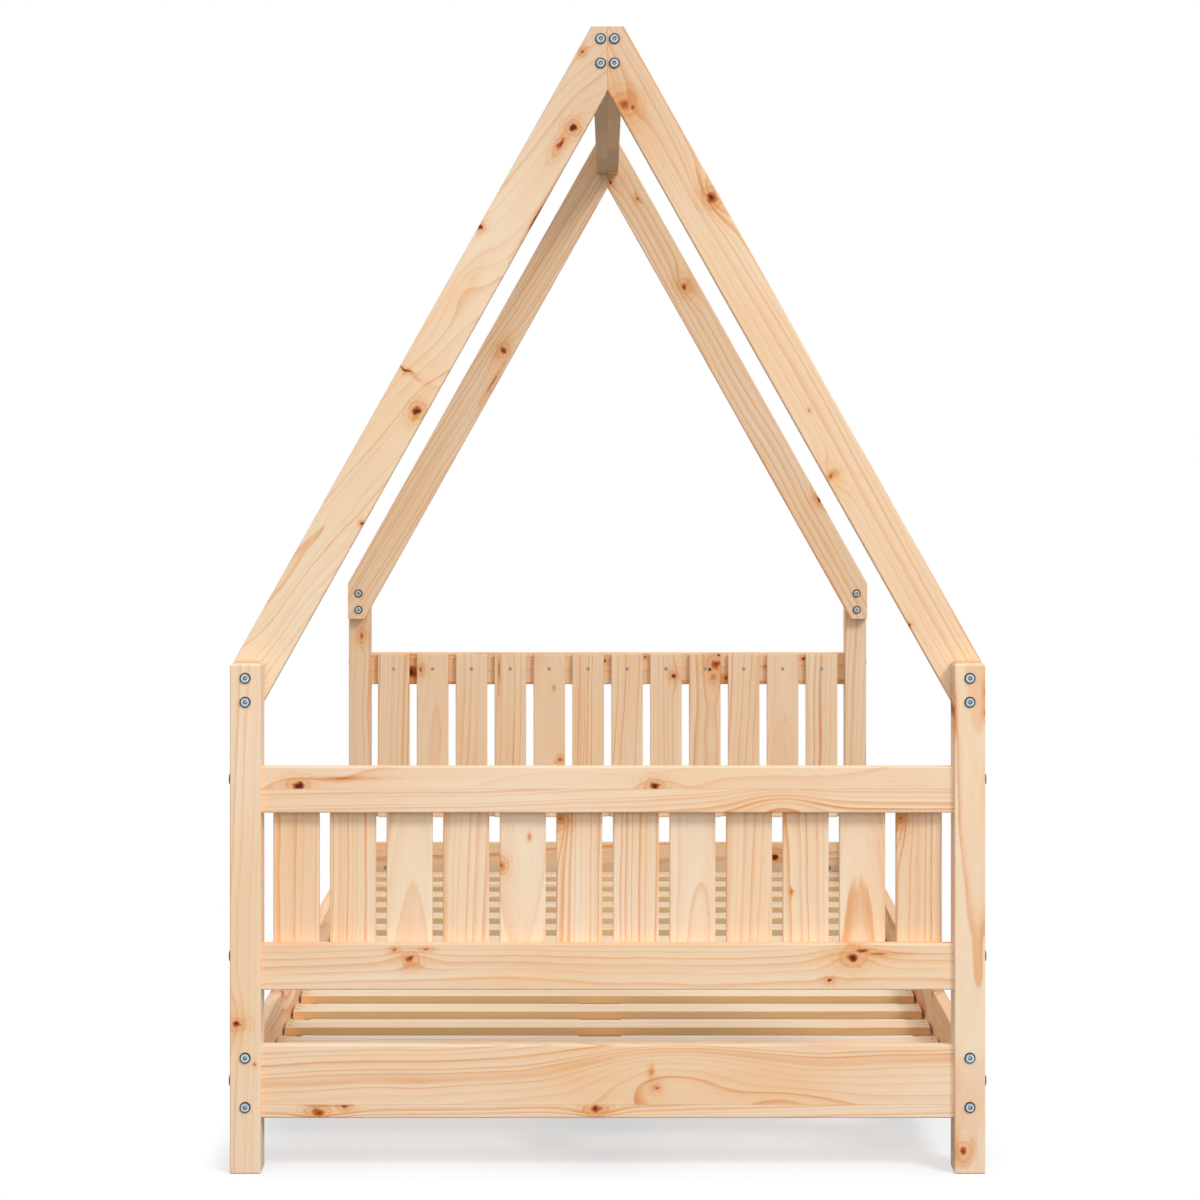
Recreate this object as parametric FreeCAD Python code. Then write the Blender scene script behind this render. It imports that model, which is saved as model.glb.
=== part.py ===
import FreeCAD, Part
import math
import os

Vector = FreeCAD.Vector

# House frame bed in solid pine. Millimetres, +Z up, origin on the floor under the
# middle of the bed. The foot end is at -Y, the head end at +Y, left is -X.

# Mattress that the bed is built round
mattress_width = 900.0
mattress_length = 2000.0
mattress_play = 10.0            # spare length between the two lower end rails

# Posts
post_width = 40.0               # across the bed
post_depth = 50.0               # along the bed
post_height = 662.0
post_top_bevel = 3.0
post_foot_bevel = 1.5

# Rafters and ridge beam of the house frame
ridge_top = 1494.0
peak_half_width = 21.5          # half of the level cut at the top of the gable
rafter_width = 60.0
rafter_thickness = 24.0
rafter_overlap = 67.0           # how far a rafter reaches down behind its post
ridge_beam_width = 40.0
ridge_beam_height = 60.0

# Rails of the two end panels
rail_thickness = 18.0
rail_recess = 7.0               # rail face behind the end face of the post
panel_rail_height = 60.0
top_rail_bottom = 467.5
foot_mid_rail_bottom = 237.5
head_mid_rail_bottom = 216.0
end_rail_bottom = 71.0
end_rail_height = 95.0

# Side rails and what carries the slats
side_rail_thickness = 18.0
side_rail_bottom = 71.0
side_rail_height = 95.0
cleat_width = 20.0
cleat_height = 20.0
cleat_end_gap = 5.0             # from the end of a cleat to the post
centre_beam_width = 60.0
centre_beam_thickness = 18.0
centre_beam_offset = -11.0      # the beam lies a little left of the middle
centre_beam_end_gap = 1.0
beam_seat_width = 100.0
beam_seat_depth = 20.0
centre_leg_width = 60.0
centre_leg_depth = 40.0

# Pickets and slats, both of the same flat stock
picket_count = 12
picket_width = 60.0
picket_thickness = 12.0
picket_drop = 2.0               # a picket's top below the top of its rail
slats_per_section = 5
slat_width = 60.0
slat_thickness = 12.0
slat_top = 116.0
slat_pitch = 127.7
slat_head_gap = 39.0            # from the last slat to the head end rail
slat_side_gap = 3.3             # from a slat's end to the side rail

# Rounding of the planed edges
board_ease = 2.0
slat_ease = 1.2
block_ease = 1.0

# Bolts and their nuts
bolt_radius = 3.0
bolt_hole_radius = 3.4
bolt_head_radius = 7.25
bolt_head_height = 2.6
bolt_head_rim = 0.9
bolt_head_flat_radius = 5.4
socket_across_flats = 5.0
socket_depth = 2.0
bolt_past_nut = 10.0            # from the axis of a barrel nut to the bolt's tip
nut_bore_radius = 3.1
barrel_nut_radius = 5.0
barrel_nut_length = 14.0
barrel_nut_clearance = 0.15
barrel_nut_inset = 30.0         # from the end of a rail to the axis of its nut
hole_floor = 1.0                # wood or air left past the end of a fastener
sleeve_nut_head_radius = 7.75
sleeve_nut_radius = 4.0
sleeve_nut_length = 35.0
sleeve_nut_clearance = 0.2
rafter_bolt_short = 14.0        # how far a rafter bolt stops short of the far face
rafter_bolt_drop = 19.0         # upper rafter bolt below the top of the post
rafter_bolt_spacing = 31.0
ridge_bolt_offset = 9.0         # each side of the joint between the rafters
ridge_bolt_drop = 16.0
ridge_bolt_spacing = 32.0
panel_bolt_drop = 17.0          # bolt below the top of a panel rail
panel_dowel_rise = 17.0         # dowel above the bottom of a panel rail
end_dowel_offset = 20.0         # dowels above and below the bolt of an end rail
side_bolt_inset = 15.5          # side rail bolts from the rail's two edges

# Dowels
dowel_radius = 4.0
dowel_length = 30.0
dowel_clearance = 0.1

# Wood screws
screw_clearance = 0.1
screw_tip_length = 3.0
screw_tip_radius = 0.3
recess_width = 0.9              # blade of the cross recess
picket_screw_radius = 1.75
picket_screw_length = 25.0
picket_screw_head_radius = 3.4
slat_screw_radius = 1.5
slat_screw_length = 25.0
slat_screw_head_radius = 2.8
slat_screw_inset = 6.0          # from the end of the slat
slat_screw_spacing = 25.0
frame_screw_radius = 2.0
frame_screw_length = 32.0
frame_screw_head_radius = 4.0
slats_per_cleat_screw = 2       # the cleat's screws go between the slats
seat_screw_spacing = 60.0
leg_screw_spacing = 30.0

# Worked out from the above
half_inner_width = mattress_width / 2
half_width = half_inner_width + post_width
half_inner_length = (mattress_length + mattress_play) / 2
half_length = half_inner_length + rail_thickness + rail_recess
post_centre_x = half_width - post_width / 2
post_inner_y = half_length - post_depth
rafter_inner_y = post_inner_y - rafter_thickness
rail_centre_y = half_inner_length + rail_thickness / 2
picket_gap = (mattress_width - picket_count * picket_width) / (picket_count + 1)
side_rail_inner_x = post_centre_x - side_rail_thickness / 2
side_rail_top = side_rail_bottom + side_rail_height
slat_bottom = slat_top - slat_thickness
slat_half_length = side_rail_inner_x - slat_side_gap
slat_reach = half_inner_length - slat_head_gap + post_inner_y - cleat_end_gap
slat_count = 1 + math.floor((slat_reach - slat_width) / slat_pitch)
centre_beam_bottom = slat_bottom - centre_beam_thickness
ridge_beam_bottom = ridge_top - ridge_beam_height

side_names = {-1: "left", 1: "right"}
end_names = {-1: "foot", 1: "head"}
corners = [(side, end) for end in end_names for side in side_names]
across = Vector(1, 0, 0)
along = Vector(0, 1, 0)
up = Vector(0, 0, 1)


# ---- solids from which the pieces are cut

def runs_along(edge, direction):
    start, finish = (vertex.Point for vertex in edge.Vertexes)
    return (finish - start).normalize().cross(direction).Length < 1e-6


def block(x_span, y_span, z_span):
    spans = [sorted(span) for span in (x_span, y_span, z_span)]
    sizes = [high - low for low, high in spans]
    return Part.makeBox(*sizes, Vector(*[low for low, high in spans]))


def ease_limit(shape, ease):
    box = shape.BoundBox
    return min(ease, 0.4 * min(box.XLength, box.YLength, box.ZLength))


# A board whose four edges along the grain are rounded, as a planer leaves them.
def board(x_span, y_span, z_span, grain, ease=board_ease):
    plain = block(x_span, y_span, z_span)
    edges = [edge for edge in plain.Edges if runs_along(edge, grain)]
    return plain.makeFillet(ease_limit(plain, ease), edges)


# A board whose end edges are rounded as well.
def soft_board(x_span, y_span, z_span, ease):
    plain = block(x_span, y_span, z_span)
    return plain.makeFillet(ease_limit(plain, ease), plain.Edges)


def hole(start, direction, radius, depth):
    return Part.makeCylinder(radius, depth, start, direction)


# A solid turned about its own +Z axis, from points (radius, height).
def turned(points):
    wire = Part.makePolygon([Vector(r, 0, z) for r, z in points + points[:1]])
    return Part.Face(wire).revolve(Vector(0, 0, 0), up, 360)


# Puts a fastener drawn along +Z at a point, pointing in a direction.
def placed(shape, point, direction):
    copy = shape.copy()
    copy.Placement = FreeCAD.Placement(point, FreeCAD.Rotation(up, direction))
    return copy


# ---- fasteners, each drawn along +Z with its seat at z = 0

def hex_prism(across_flats, depth):
    corner = across_flats / math.sqrt(3)
    turns = [math.radians(60 * step) for step in range(7)]
    points = [Vector(corner * math.cos(turn), corner * math.sin(turn), 0) for turn in turns]
    return Part.Face(Part.makePolygon(points)).extrude(up * depth)


# Low domed head with a hexagon socket. The dome is an arc from the rim to the flat.
def socket_head(head_radius):
    rim = Vector(head_radius, 0, -bolt_head_rim)
    crown = Vector(bolt_head_flat_radius, 0, -bolt_head_height)
    middle = (rim + crown) / 2
    bulge = Vector(bolt_head_height - bolt_head_rim, 0, bolt_head_flat_radius - head_radius)
    middle += bulge.normalize() * 0.5
    outline = [
        Part.LineSegment(Vector(0, 0, 0), Vector(head_radius, 0, 0)),
        Part.LineSegment(Vector(head_radius, 0, 0), rim),
        Part.Arc(rim, middle, crown),
        Part.LineSegment(crown, Vector(0, 0, -bolt_head_height)),
        Part.LineSegment(Vector(0, 0, -bolt_head_height), Vector(0, 0, 0)),
    ]
    wire = Part.Wire([piece.toShape() for piece in outline])
    return Part.Face(wire).revolve(Vector(0, 0, 0), up, 360)


def socket():
    tool = hex_prism(socket_across_flats, socket_depth)
    tool.translate(Vector(0, 0, -bolt_head_height))
    return tool


def bolt(length):
    chamfer = 0.2 * bolt_radius
    shank = turned([(0, 0), (bolt_radius, 0), (bolt_radius, length - chamfer),
                    (bolt_radius - chamfer, length), (0, length)])
    return socket_head(bolt_head_radius).fuse(shank).cut(socket()).removeSplitter()


# Nut with a domed head and a long bored sleeve that takes the bolt's end.
def sleeve_nut():
    sleeve = hole(Vector(0, 0, 0), up, sleeve_nut_radius, sleeve_nut_length)
    bore = hole(Vector(0, 0, hole_floor), up, nut_bore_radius, sleeve_nut_length)
    solid = socket_head(sleeve_nut_head_radius).fuse(sleeve)
    return solid.cut([bore, socket()]).removeSplitter()


# Cross dowel with its threaded hole through the middle. Drawn along +Z and
# bored along +X, centred on the crossing of the two axes.
def barrel_nut():
    start = Vector(0, 0, -barrel_nut_length / 2)
    body = hole(start, up, barrel_nut_radius, barrel_nut_length)
    bore = hole(Vector(-barrel_nut_radius - 1, 0, 0), across,
                nut_bore_radius, 2 * barrel_nut_radius + 2)
    return body.cut(bore)


def barrel_nut_at(point, nut_axis, bolt_axis):
    rotation = FreeCAD.Rotation(bolt_axis, nut_axis.cross(bolt_axis), nut_axis, "ZXY")
    nut = barrel_nut()
    nut.Placement = FreeCAD.Placement(point, rotation)
    return nut


# Countersunk screw, its head flush with z = 0.
def screw(radius, length, head_radius):
    head_height = head_radius - radius
    body = turned([(0, 0), (head_radius, 0), (radius, head_height),
                   (radius, length - screw_tip_length),
                   (screw_tip_radius, length), (0, length)])
    reach = 0.6 * head_radius
    blade = recess_width / 2
    slots = [block((-reach, reach), (-blade, blade), (0, head_height)),
             block((-blade, blade), (-reach, reach), (0, head_height))]
    return body.cut(slots)


# The hole that such a screw leaves, a little larger all round.
def screw_hole(point, direction, radius, length, head_radius):
    play = screw_clearance
    tool = turned([(0, -hole_floor), (head_radius + play + hole_floor, -hole_floor),
                   (head_radius + play - head_radius + radius, head_radius - radius),
                   (radius + play, length + play), (0, length + play)])
    return placed(tool, point, direction)


# ---- where things are

def end_rails(end):
    mid_bottom = foot_mid_rail_bottom if end < 0 else head_mid_rail_bottom
    return {"top_rail": (top_rail_bottom, panel_rail_height),
            "mid_rail": (mid_bottom, panel_rail_height),
            "end_rail": (end_rail_bottom, end_rail_height)}


# Heights of the bolts and of the dowels at either end of a rail.
def rail_fixings(name, bottom, height):
    if name == "end_rail":
        middle = bottom + height / 2
        return [middle], [middle - end_dowel_offset, middle + end_dowel_offset]
    return [bottom + height - panel_bolt_drop], [bottom + panel_dowel_rise]


def side_rail_bolt_heights():
    return [side_rail_bottom + side_bolt_inset, side_rail_top - side_bolt_inset]


def rafter_bolt_heights():
    upper = post_height - rafter_bolt_drop
    return [upper, upper - rafter_bolt_spacing]


def ridge_bolt_heights():
    upper = ridge_top - ridge_bolt_drop
    return [upper, upper - ridge_bolt_spacing]


def picket_centres():
    first = -half_inner_width + picket_gap + picket_width / 2
    return [first + index * (picket_width + picket_gap) for index in range(picket_count)]


def slat_centres():
    last = half_inner_length - slat_head_gap - slat_width / 2
    return [last - index * slat_pitch for index in reversed(range(slat_count))]


def slat_screw_points(y):
    x = slat_half_length - slat_screw_inset
    return [Vector(side * x, y + step * slat_screw_spacing / 2, slat_top)
            for side in side_names for step in (-1, 1)]


def picket_screw_heights(end):
    rails = end_rails(end)
    return [rails[name][0] + rails[name][1] / 2 for name in ("top_rail", "mid_rail")]


def cleat_screw_points(side):
    centres = slat_centres()
    between = [(here + beyond) / 2 for here, beyond in zip(centres, centres[1:])]
    x = side * (side_rail_inner_x - cleat_width)
    return [Vector(x, y, slat_bottom - cleat_height / 2)
            for y in between[::slats_per_cleat_screw]]


def beam_seat_screw_points(end):
    y = end * (half_inner_length - beam_seat_depth)
    z = (end_rail_bottom + centre_beam_bottom) / 2
    return [Vector(centre_beam_offset + side * seat_screw_spacing / 2, y, z)
            for side in side_names]


def leg_screw_points():
    return [Vector(centre_beam_offset + side * leg_screw_spacing / 2, 0, slat_bottom)
            for side in side_names]


# ---- holes that two pieces share

def bolt_hole(point, direction, length):
    start = point - direction * hole_floor
    return hole(start, direction, bolt_hole_radius, length + 2 * hole_floor)


def dowel_hole(point, direction):
    length = dowel_length + 2 * hole_floor
    start = point - direction * (length / 2)
    return hole(start, direction, dowel_radius + dowel_clearance, length)


# Bolts that run across the bed, through a post into the end of a rail.
def cross_bolt_start(side, end, z):
    return Vector(side * half_width, end * rail_centre_y, z)


def cross_bolt_length():
    return post_width + barrel_nut_inset + bolt_past_nut


# Bolts that run along the bed, through a post into the end of a side rail.
def side_bolt_start(side, end, z):
    return Vector(side * post_centre_x, end * half_length, z)


def side_bolt_length():
    return post_depth + barrel_nut_inset + bolt_past_nut


def rafter_bolt_length():
    return post_depth + rafter_thickness - rafter_bolt_short


def ridge_bolt_start(side, end, z):
    return Vector(side * ridge_bolt_offset, end * post_inner_y, z)


def ridge_bolt_length():
    return rafter_thickness + barrel_nut_inset + bolt_past_nut


def rafter_fixing_holes(side, end):
    inward = along * -end
    nut_radius = sleeve_nut_radius + sleeve_nut_clearance
    holes = []
    for z in rafter_bolt_heights():
        outer = Vector(side * post_centre_x, end * half_length, z)
        inner = Vector(side * post_centre_x, end * rafter_inner_y, z)
        holes.append(bolt_hole(outer, inward, rafter_bolt_length()))
        holes.append(hole(inner + inward * hole_floor, -inward, nut_radius,
                          sleeve_nut_length + 2 * hole_floor))
    return holes


def end_rail_fixing_holes(side, end):
    inward = across * -side
    holes = []
    for name, (bottom, height) in end_rails(end).items():
        bolts, dowels = rail_fixings(name, bottom, height)
        for z in bolts:
            holes.append(bolt_hole(cross_bolt_start(side, end, z), inward,
                                   cross_bolt_length()))
        for z in dowels:
            point = Vector(side * half_inner_width, end * rail_centre_y, z)
            holes.append(dowel_hole(point, inward))
    return holes


def side_rail_fixing_holes(side, end):
    inward = along * -end
    holes = [bolt_hole(side_bolt_start(side, end, z), inward, side_bolt_length())
             for z in side_rail_bolt_heights()]
    middle = side_rail_bottom + side_rail_height / 2
    point = Vector(side * post_centre_x, end * post_inner_y, middle)
    return holes + [dowel_hole(point, inward)]


def nut_hole(point, out_direction, mouth_distance):
    start = point - out_direction * (barrel_nut_length / 2 + hole_floor)
    length = barrel_nut_length / 2 + hole_floor + mouth_distance + hole_floor
    return hole(start, out_direction, barrel_nut_radius + barrel_nut_clearance, length)


# ---- posts, rafters and ridge beam

def post(side, end):
    shape = block((side * half_inner_width, side * half_width),
                  (end * post_inner_y, end * half_length), (0, post_height))
    for z, bevel in ((post_height, post_top_bevel), (0, post_foot_bevel)):
        rim = [edge for edge in shape.Edges
               if all(abs(vertex.Z - z) < 1e-6 for vertex in edge.Vertexes)]
        shape = shape.makeChamfer(bevel, rim)
    corner_edges = [edge for edge in shape.Edges if runs_along(edge, up)]
    shape = shape.makeFillet(ease_limit(shape, board_ease), corner_edges)
    return shape.cut(rafter_fixing_holes(side, end) + end_rail_fixing_holes(side, end)
                     + side_rail_fixing_holes(side, end))


# The gable's outer line runs from the top of the post to the level cut at the
# peak. The inner line is parallel to it, one rafter's width away.
def rafter_outline():
    run = half_width - peak_half_width
    rise = ridge_top - post_height
    slant = math.hypot(run, rise)
    level_width = rafter_width * slant / rise
    slope = run / rise
    foot = post_height - rafter_overlap
    inner_foot = half_width + rafter_overlap * slope - level_width
    inner_peak = post_height + (half_width - level_width) / slope
    return [(half_width, foot), (half_width, post_height), (peak_half_width, ridge_top),
            (0, ridge_top), (0, inner_peak), (inner_foot, foot)]


def rafter(side, end):
    points = [Vector(side * x, end * post_inner_y, z) for x, z in rafter_outline()]
    face = Part.Face(Part.makePolygon(points + points[:1]))
    plain = face.extrude(along * (-end * rafter_thickness))
    slant = points[2] - points[1]
    edges = [edge for edge in plain.Edges if runs_along(edge, slant)]
    shape = plain.makeFillet(ease_limit(plain, board_ease), edges)
    bolts = [bolt_hole(ridge_bolt_start(side, end, z), along * -end, ridge_bolt_length())
             for z in ridge_bolt_heights()]
    return shape.cut(rafter_fixing_holes(side, end) + bolts)


def ridge_beam():
    shape = board((-ridge_beam_width / 2, ridge_beam_width / 2),
                  (-rafter_inner_y, rafter_inner_y), (ridge_beam_bottom, ridge_top), along)
    holes = []
    for side, end in corners:
        for z in ridge_bolt_heights():
            start = ridge_bolt_start(side, end, z)
            holes.append(bolt_hole(start, along * -end, ridge_bolt_length()))
            mouth = ridge_beam_width / 2 - ridge_bolt_offset
            holes.append(nut_hole(ridge_nut_point(side, end, z), across * side, mouth))
    return shape.cut(holes)


def ridge_nut_point(side, end, z):
    return Vector(side * ridge_bolt_offset, end * (rafter_inner_y - barrel_nut_inset), z)


# ---- end panels

def end_panel_rail(end, name):
    bottom, height = end_rails(end)[name]
    shape = board((-half_inner_width, half_inner_width),
                  (end * half_inner_length, end * (half_inner_length + rail_thickness)),
                  (bottom, bottom + height), across)
    bolts, dowels = rail_fixings(name, bottom, height)
    holes = end_rail_fixing_holes(-1, end) + end_rail_fixing_holes(1, end)
    for side in side_names:
        for z in bolts:
            holes.append(nut_hole(cross_nut_point(side, end, z), along * -end,
                                  rail_thickness / 2))
    if name == "end_rail":
        holes += [frame_screw_hole(point, along * end) for point in beam_seat_screw_points(end)]
    else:
        middle = bottom + height / 2
        holes += [picket_screw_hole(x, end, middle) for x in picket_centres()]
    return shape.cut(holes)


def cross_nut_point(side, end, z):
    return Vector(side * (half_inner_width - barrel_nut_inset), end * rail_centre_y, z)


def picket_face_y():
    return half_inner_length - picket_thickness


def picket_screw_hole(x, end, z):
    return screw_hole(Vector(x, end * picket_face_y(), z), along * end,
                      picket_screw_radius, picket_screw_length, picket_screw_head_radius)


def picket(end, x):
    bottom = end_rails(end)["mid_rail"][0]
    top = top_rail_bottom + panel_rail_height - picket_drop
    shape = soft_board((x - picket_width / 2, x + picket_width / 2),
                       (end * half_inner_length, end * picket_face_y()),
                       (bottom, top), board_ease)
    return shape.cut([picket_screw_hole(x, end, z) for z in picket_screw_heights(end)])


# ---- bed base

def side_rail(side):
    inner, outer = side_rail_inner_x, side_rail_inner_x + side_rail_thickness
    shape = board((side * inner, side * outer), (-post_inner_y, post_inner_y),
                  (side_rail_bottom, side_rail_top), along)
    holes = [frame_screw_hole(point, across * side) for point in cleat_screw_points(side)]
    for end in end_names:
        holes += side_rail_fixing_holes(side, end)
        for z, out in zip(side_rail_bolt_heights(), (-up, up)):
            holes.append(nut_hole(side_nut_point(side, end, z), out, side_bolt_inset))
    return shape.cut(holes)


def side_nut_point(side, end, z):
    return Vector(side * post_centre_x, end * (post_inner_y - barrel_nut_inset), z)


def frame_screw_hole(point, direction):
    return screw_hole(point, direction, frame_screw_radius, frame_screw_length,
                      frame_screw_head_radius)


def slat_screw_hole(point):
    return screw_hole(point, -up, slat_screw_radius, slat_screw_length,
                      slat_screw_head_radius)


def all_slat_screw_holes():
    return [slat_screw_hole(point) for y in slat_centres() for point in slat_screw_points(y)]


def cleat(side):
    reach = post_inner_y - cleat_end_gap
    shape = board((side * side_rail_inner_x, side * (side_rail_inner_x - cleat_width)),
                  (-reach, reach), (slat_bottom - cleat_height, slat_bottom),
                  along, block_ease)
    holes = [frame_screw_hole(point, across * side) for point in cleat_screw_points(side)]
    for y in slat_centres():
        holes += [slat_screw_hole(point) for point in slat_screw_points(y) if point.x * side > 0]
    return shape.cut(holes)


def slat(y):
    shape = soft_board((-slat_half_length, slat_half_length),
                       (y - slat_width / 2, y + slat_width / 2),
                       (slat_bottom, slat_top), slat_ease)
    return shape.cut([slat_screw_hole(point) for point in slat_screw_points(y)])


def centre_beam():
    reach = half_inner_length - centre_beam_end_gap
    shape = board((centre_beam_offset - centre_beam_width / 2,
                   centre_beam_offset + centre_beam_width / 2),
                  (-reach, reach), (centre_beam_bottom, slat_bottom), along)
    return shape.cut([frame_screw_hole(point, -up) for point in leg_screw_points()])


def centre_leg():
    shape = board((centre_beam_offset - centre_leg_width / 2,
                   centre_beam_offset + centre_leg_width / 2),
                  (-centre_leg_depth / 2, centre_leg_depth / 2),
                  (0, centre_beam_bottom), up)
    return shape.cut([frame_screw_hole(point, -up) for point in leg_screw_points()])


def beam_seat(end):
    shape = board((centre_beam_offset - beam_seat_width / 2,
                   centre_beam_offset + beam_seat_width / 2),
                  (end * half_inner_length, end * (half_inner_length - beam_seat_depth)),
                  (end_rail_bottom, centre_beam_bottom), across, block_ease)
    return shape.cut([frame_screw_hole(point, along * end)
                      for point in beam_seat_screw_points(end)])


# ---- fasteners in their places

def rafter_post_bolts():
    shape = bolt(rafter_bolt_length())
    return [placed(shape, Vector(side * post_centre_x, end * half_length, z), along * -end)
            for side, end in corners for z in rafter_bolt_heights()]


def rafter_sleeve_nuts():
    shape = sleeve_nut()
    return [placed(shape, Vector(side * post_centre_x, end * rafter_inner_y, z), along * end)
            for side, end in corners for z in rafter_bolt_heights()]


def ridge_bolts():
    shape = bolt(ridge_bolt_length())
    return [placed(shape, ridge_bolt_start(side, end, z), along * -end)
            for side, end in corners for z in ridge_bolt_heights()]


def side_rail_bolts():
    shape = bolt(side_bolt_length())
    return [placed(shape, side_bolt_start(side, end, z), along * -end)
            for side, end in corners for z in side_rail_bolt_heights()]


def end_rail_bolts():
    shape = bolt(cross_bolt_length())
    return [placed(shape, cross_bolt_start(side, end, z), across * -side)
            for side, end in corners for z in end_rail_bolt_heights(end)]


def end_rail_bolt_heights(end):
    heights = []
    for name, (bottom, height) in end_rails(end).items():
        heights += rail_fixings(name, bottom, height)[0]
    return heights


def barrel_nuts():
    nuts = []
    for side, end in corners:
        for z in ridge_bolt_heights():
            nuts.append(barrel_nut_at(ridge_nut_point(side, end, z), across, along))
        for z in side_rail_bolt_heights():
            nuts.append(barrel_nut_at(side_nut_point(side, end, z), up, along))
        for z in end_rail_bolt_heights(end):
            nuts.append(barrel_nut_at(cross_nut_point(side, end, z), along, across))
    return nuts


def dowel_at(point, direction):
    plain = hole(Vector(0, 0, -dowel_length / 2), up, dowel_radius, dowel_length)
    rims = [edge for edge in plain.Edges if isinstance(edge.Curve, Part.Circle)]
    return placed(plain.makeChamfer(0.2 * dowel_radius, rims), point, direction)


def wooden_dowels():
    dowels = []
    for side, end in corners:
        for name, (bottom, height) in end_rails(end).items():
            for z in rail_fixings(name, bottom, height)[1]:
                point = Vector(side * half_inner_width, end * rail_centre_y, z)
                dowels.append(dowel_at(point, across))
        middle = side_rail_bottom + side_rail_height / 2
        point = Vector(side * post_centre_x, end * post_inner_y, middle)
        dowels.append(dowel_at(point, along))
    return dowels


def picket_screws():
    shape = screw(picket_screw_radius, picket_screw_length, picket_screw_head_radius)
    return [placed(shape, Vector(x, end * picket_face_y(), z), along * end)
            for end in end_names for x in picket_centres() for z in picket_screw_heights(end)]


def slat_screws():
    shape = screw(slat_screw_radius, slat_screw_length, slat_screw_head_radius)
    return [placed(shape, point, -up) for y in slat_centres() for point in slat_screw_points(y)]


def cleat_and_beam_screws():
    shape = screw(frame_screw_radius, frame_screw_length, frame_screw_head_radius)
    screws = [placed(shape, point, across * side)
              for side in side_names for point in cleat_screw_points(side)]
    screws += [placed(shape, point, along * end)
               for end in end_names for point in beam_seat_screw_points(end)]
    return screws + [placed(shape, point, -up) for point in leg_screw_points()]


# ---- the whole bed, node by node

def gable_nodes():
    nodes = {}
    for side, end in corners:
        corner = end_names[end] + "_" + side_names[side]
        nodes[corner + "_post"] = [post(side, end)]
        nodes[corner + "_rafter"] = [rafter(side, end)]
    nodes["ridge_beam"] = [ridge_beam()]
    return nodes


def panel_nodes():
    nodes = {}
    for end, end_name in end_names.items():
        for name in end_rails(end):
            nodes[end_name + "_" + name] = [end_panel_rail(end, name)]
        for number, x in enumerate(picket_centres(), 1):
            nodes["%s_picket_%02d" % (end_name, number)] = [picket(end, x)]
    return nodes


def base_nodes():
    nodes = {}
    for side, name in side_names.items():
        nodes[name + "_side_rail"] = [side_rail(side)]
        nodes[name + "_slat_cleat"] = [cleat(side)]
    nodes["centre_beam"] = [centre_beam()]
    nodes["centre_leg"] = [centre_leg()]
    nodes["centre_beam_seats"] = [beam_seat(end) for end in end_names]
    centres = slat_centres()
    for first in range(0, slat_count, slats_per_section):
        section = [slat(y) for y in centres[first:first + slats_per_section]]
        nodes["slats_section_%d" % (first // slats_per_section + 1)] = section
    return nodes


def fastener_nodes():
    makers = [rafter_post_bolts, rafter_sleeve_nuts, ridge_bolts, side_rail_bolts,
              end_rail_bolts, barrel_nuts, wooden_dowels, picket_screws, slat_screws,
              cleat_and_beam_screws]
    return {maker.__name__: maker() for maker in makers}


def write_parts():
    os.makedirs("parts", exist_ok=True)
    for make_nodes in (gable_nodes, panel_nodes, base_nodes, fastener_nodes):
        for name, solids in make_nodes().items():
            shape = solids[0] if len(solids) == 1 else Part.makeCompound(solids)
            if not shape.isValid():
                print("not valid:", name)
            shape.exportStep("parts/" + name + ".step")
            print(name, len(shape.Solids), "solids", round(shape.Volume / 1000), "cm3")


write_parts()
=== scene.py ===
import bpy
import bmesh
import math
import random
from mathutils import Matrix, Vector


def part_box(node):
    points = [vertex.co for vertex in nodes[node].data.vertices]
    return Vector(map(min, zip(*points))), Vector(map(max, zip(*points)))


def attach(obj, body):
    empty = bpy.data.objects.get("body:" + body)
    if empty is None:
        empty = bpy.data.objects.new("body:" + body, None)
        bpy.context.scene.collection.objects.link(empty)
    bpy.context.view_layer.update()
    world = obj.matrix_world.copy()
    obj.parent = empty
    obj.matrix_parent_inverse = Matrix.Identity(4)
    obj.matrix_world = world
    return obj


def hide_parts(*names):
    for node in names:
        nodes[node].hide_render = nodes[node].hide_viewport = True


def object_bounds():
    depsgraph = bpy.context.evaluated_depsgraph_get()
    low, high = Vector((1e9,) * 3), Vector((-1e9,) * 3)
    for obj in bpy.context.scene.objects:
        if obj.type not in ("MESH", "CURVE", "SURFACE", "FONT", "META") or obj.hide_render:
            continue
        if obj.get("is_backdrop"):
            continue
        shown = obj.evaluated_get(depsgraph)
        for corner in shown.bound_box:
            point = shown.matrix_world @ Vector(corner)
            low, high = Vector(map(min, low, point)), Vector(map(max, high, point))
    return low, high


# House frame bed in pale pine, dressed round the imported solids. Metres, +Z up, foot end at -Y.

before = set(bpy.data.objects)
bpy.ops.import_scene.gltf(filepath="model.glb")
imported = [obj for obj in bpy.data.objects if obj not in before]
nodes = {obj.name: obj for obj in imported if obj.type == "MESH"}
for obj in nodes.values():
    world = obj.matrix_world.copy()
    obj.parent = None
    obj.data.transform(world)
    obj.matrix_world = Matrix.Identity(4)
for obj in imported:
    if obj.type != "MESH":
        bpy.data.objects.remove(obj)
cadLow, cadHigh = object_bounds()
mm = 0.001
east, north, up = Vector((1, 0, 0)), Vector((0, 1, 0)), Vector((0, 0, 1))
print("frame:", len(nodes), "nodes")


# small helpers for node trees

def put(tree, kind, **settings):
    node = tree.nodes.new(kind)
    for name, value in settings.items():
        setattr(node, name, value)
    return node


def feed(tree, socket, value):
    if isinstance(value, bpy.types.NodeSocket):
        tree.links.new(value, socket)
    else:
        socket.default_value = value


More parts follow.
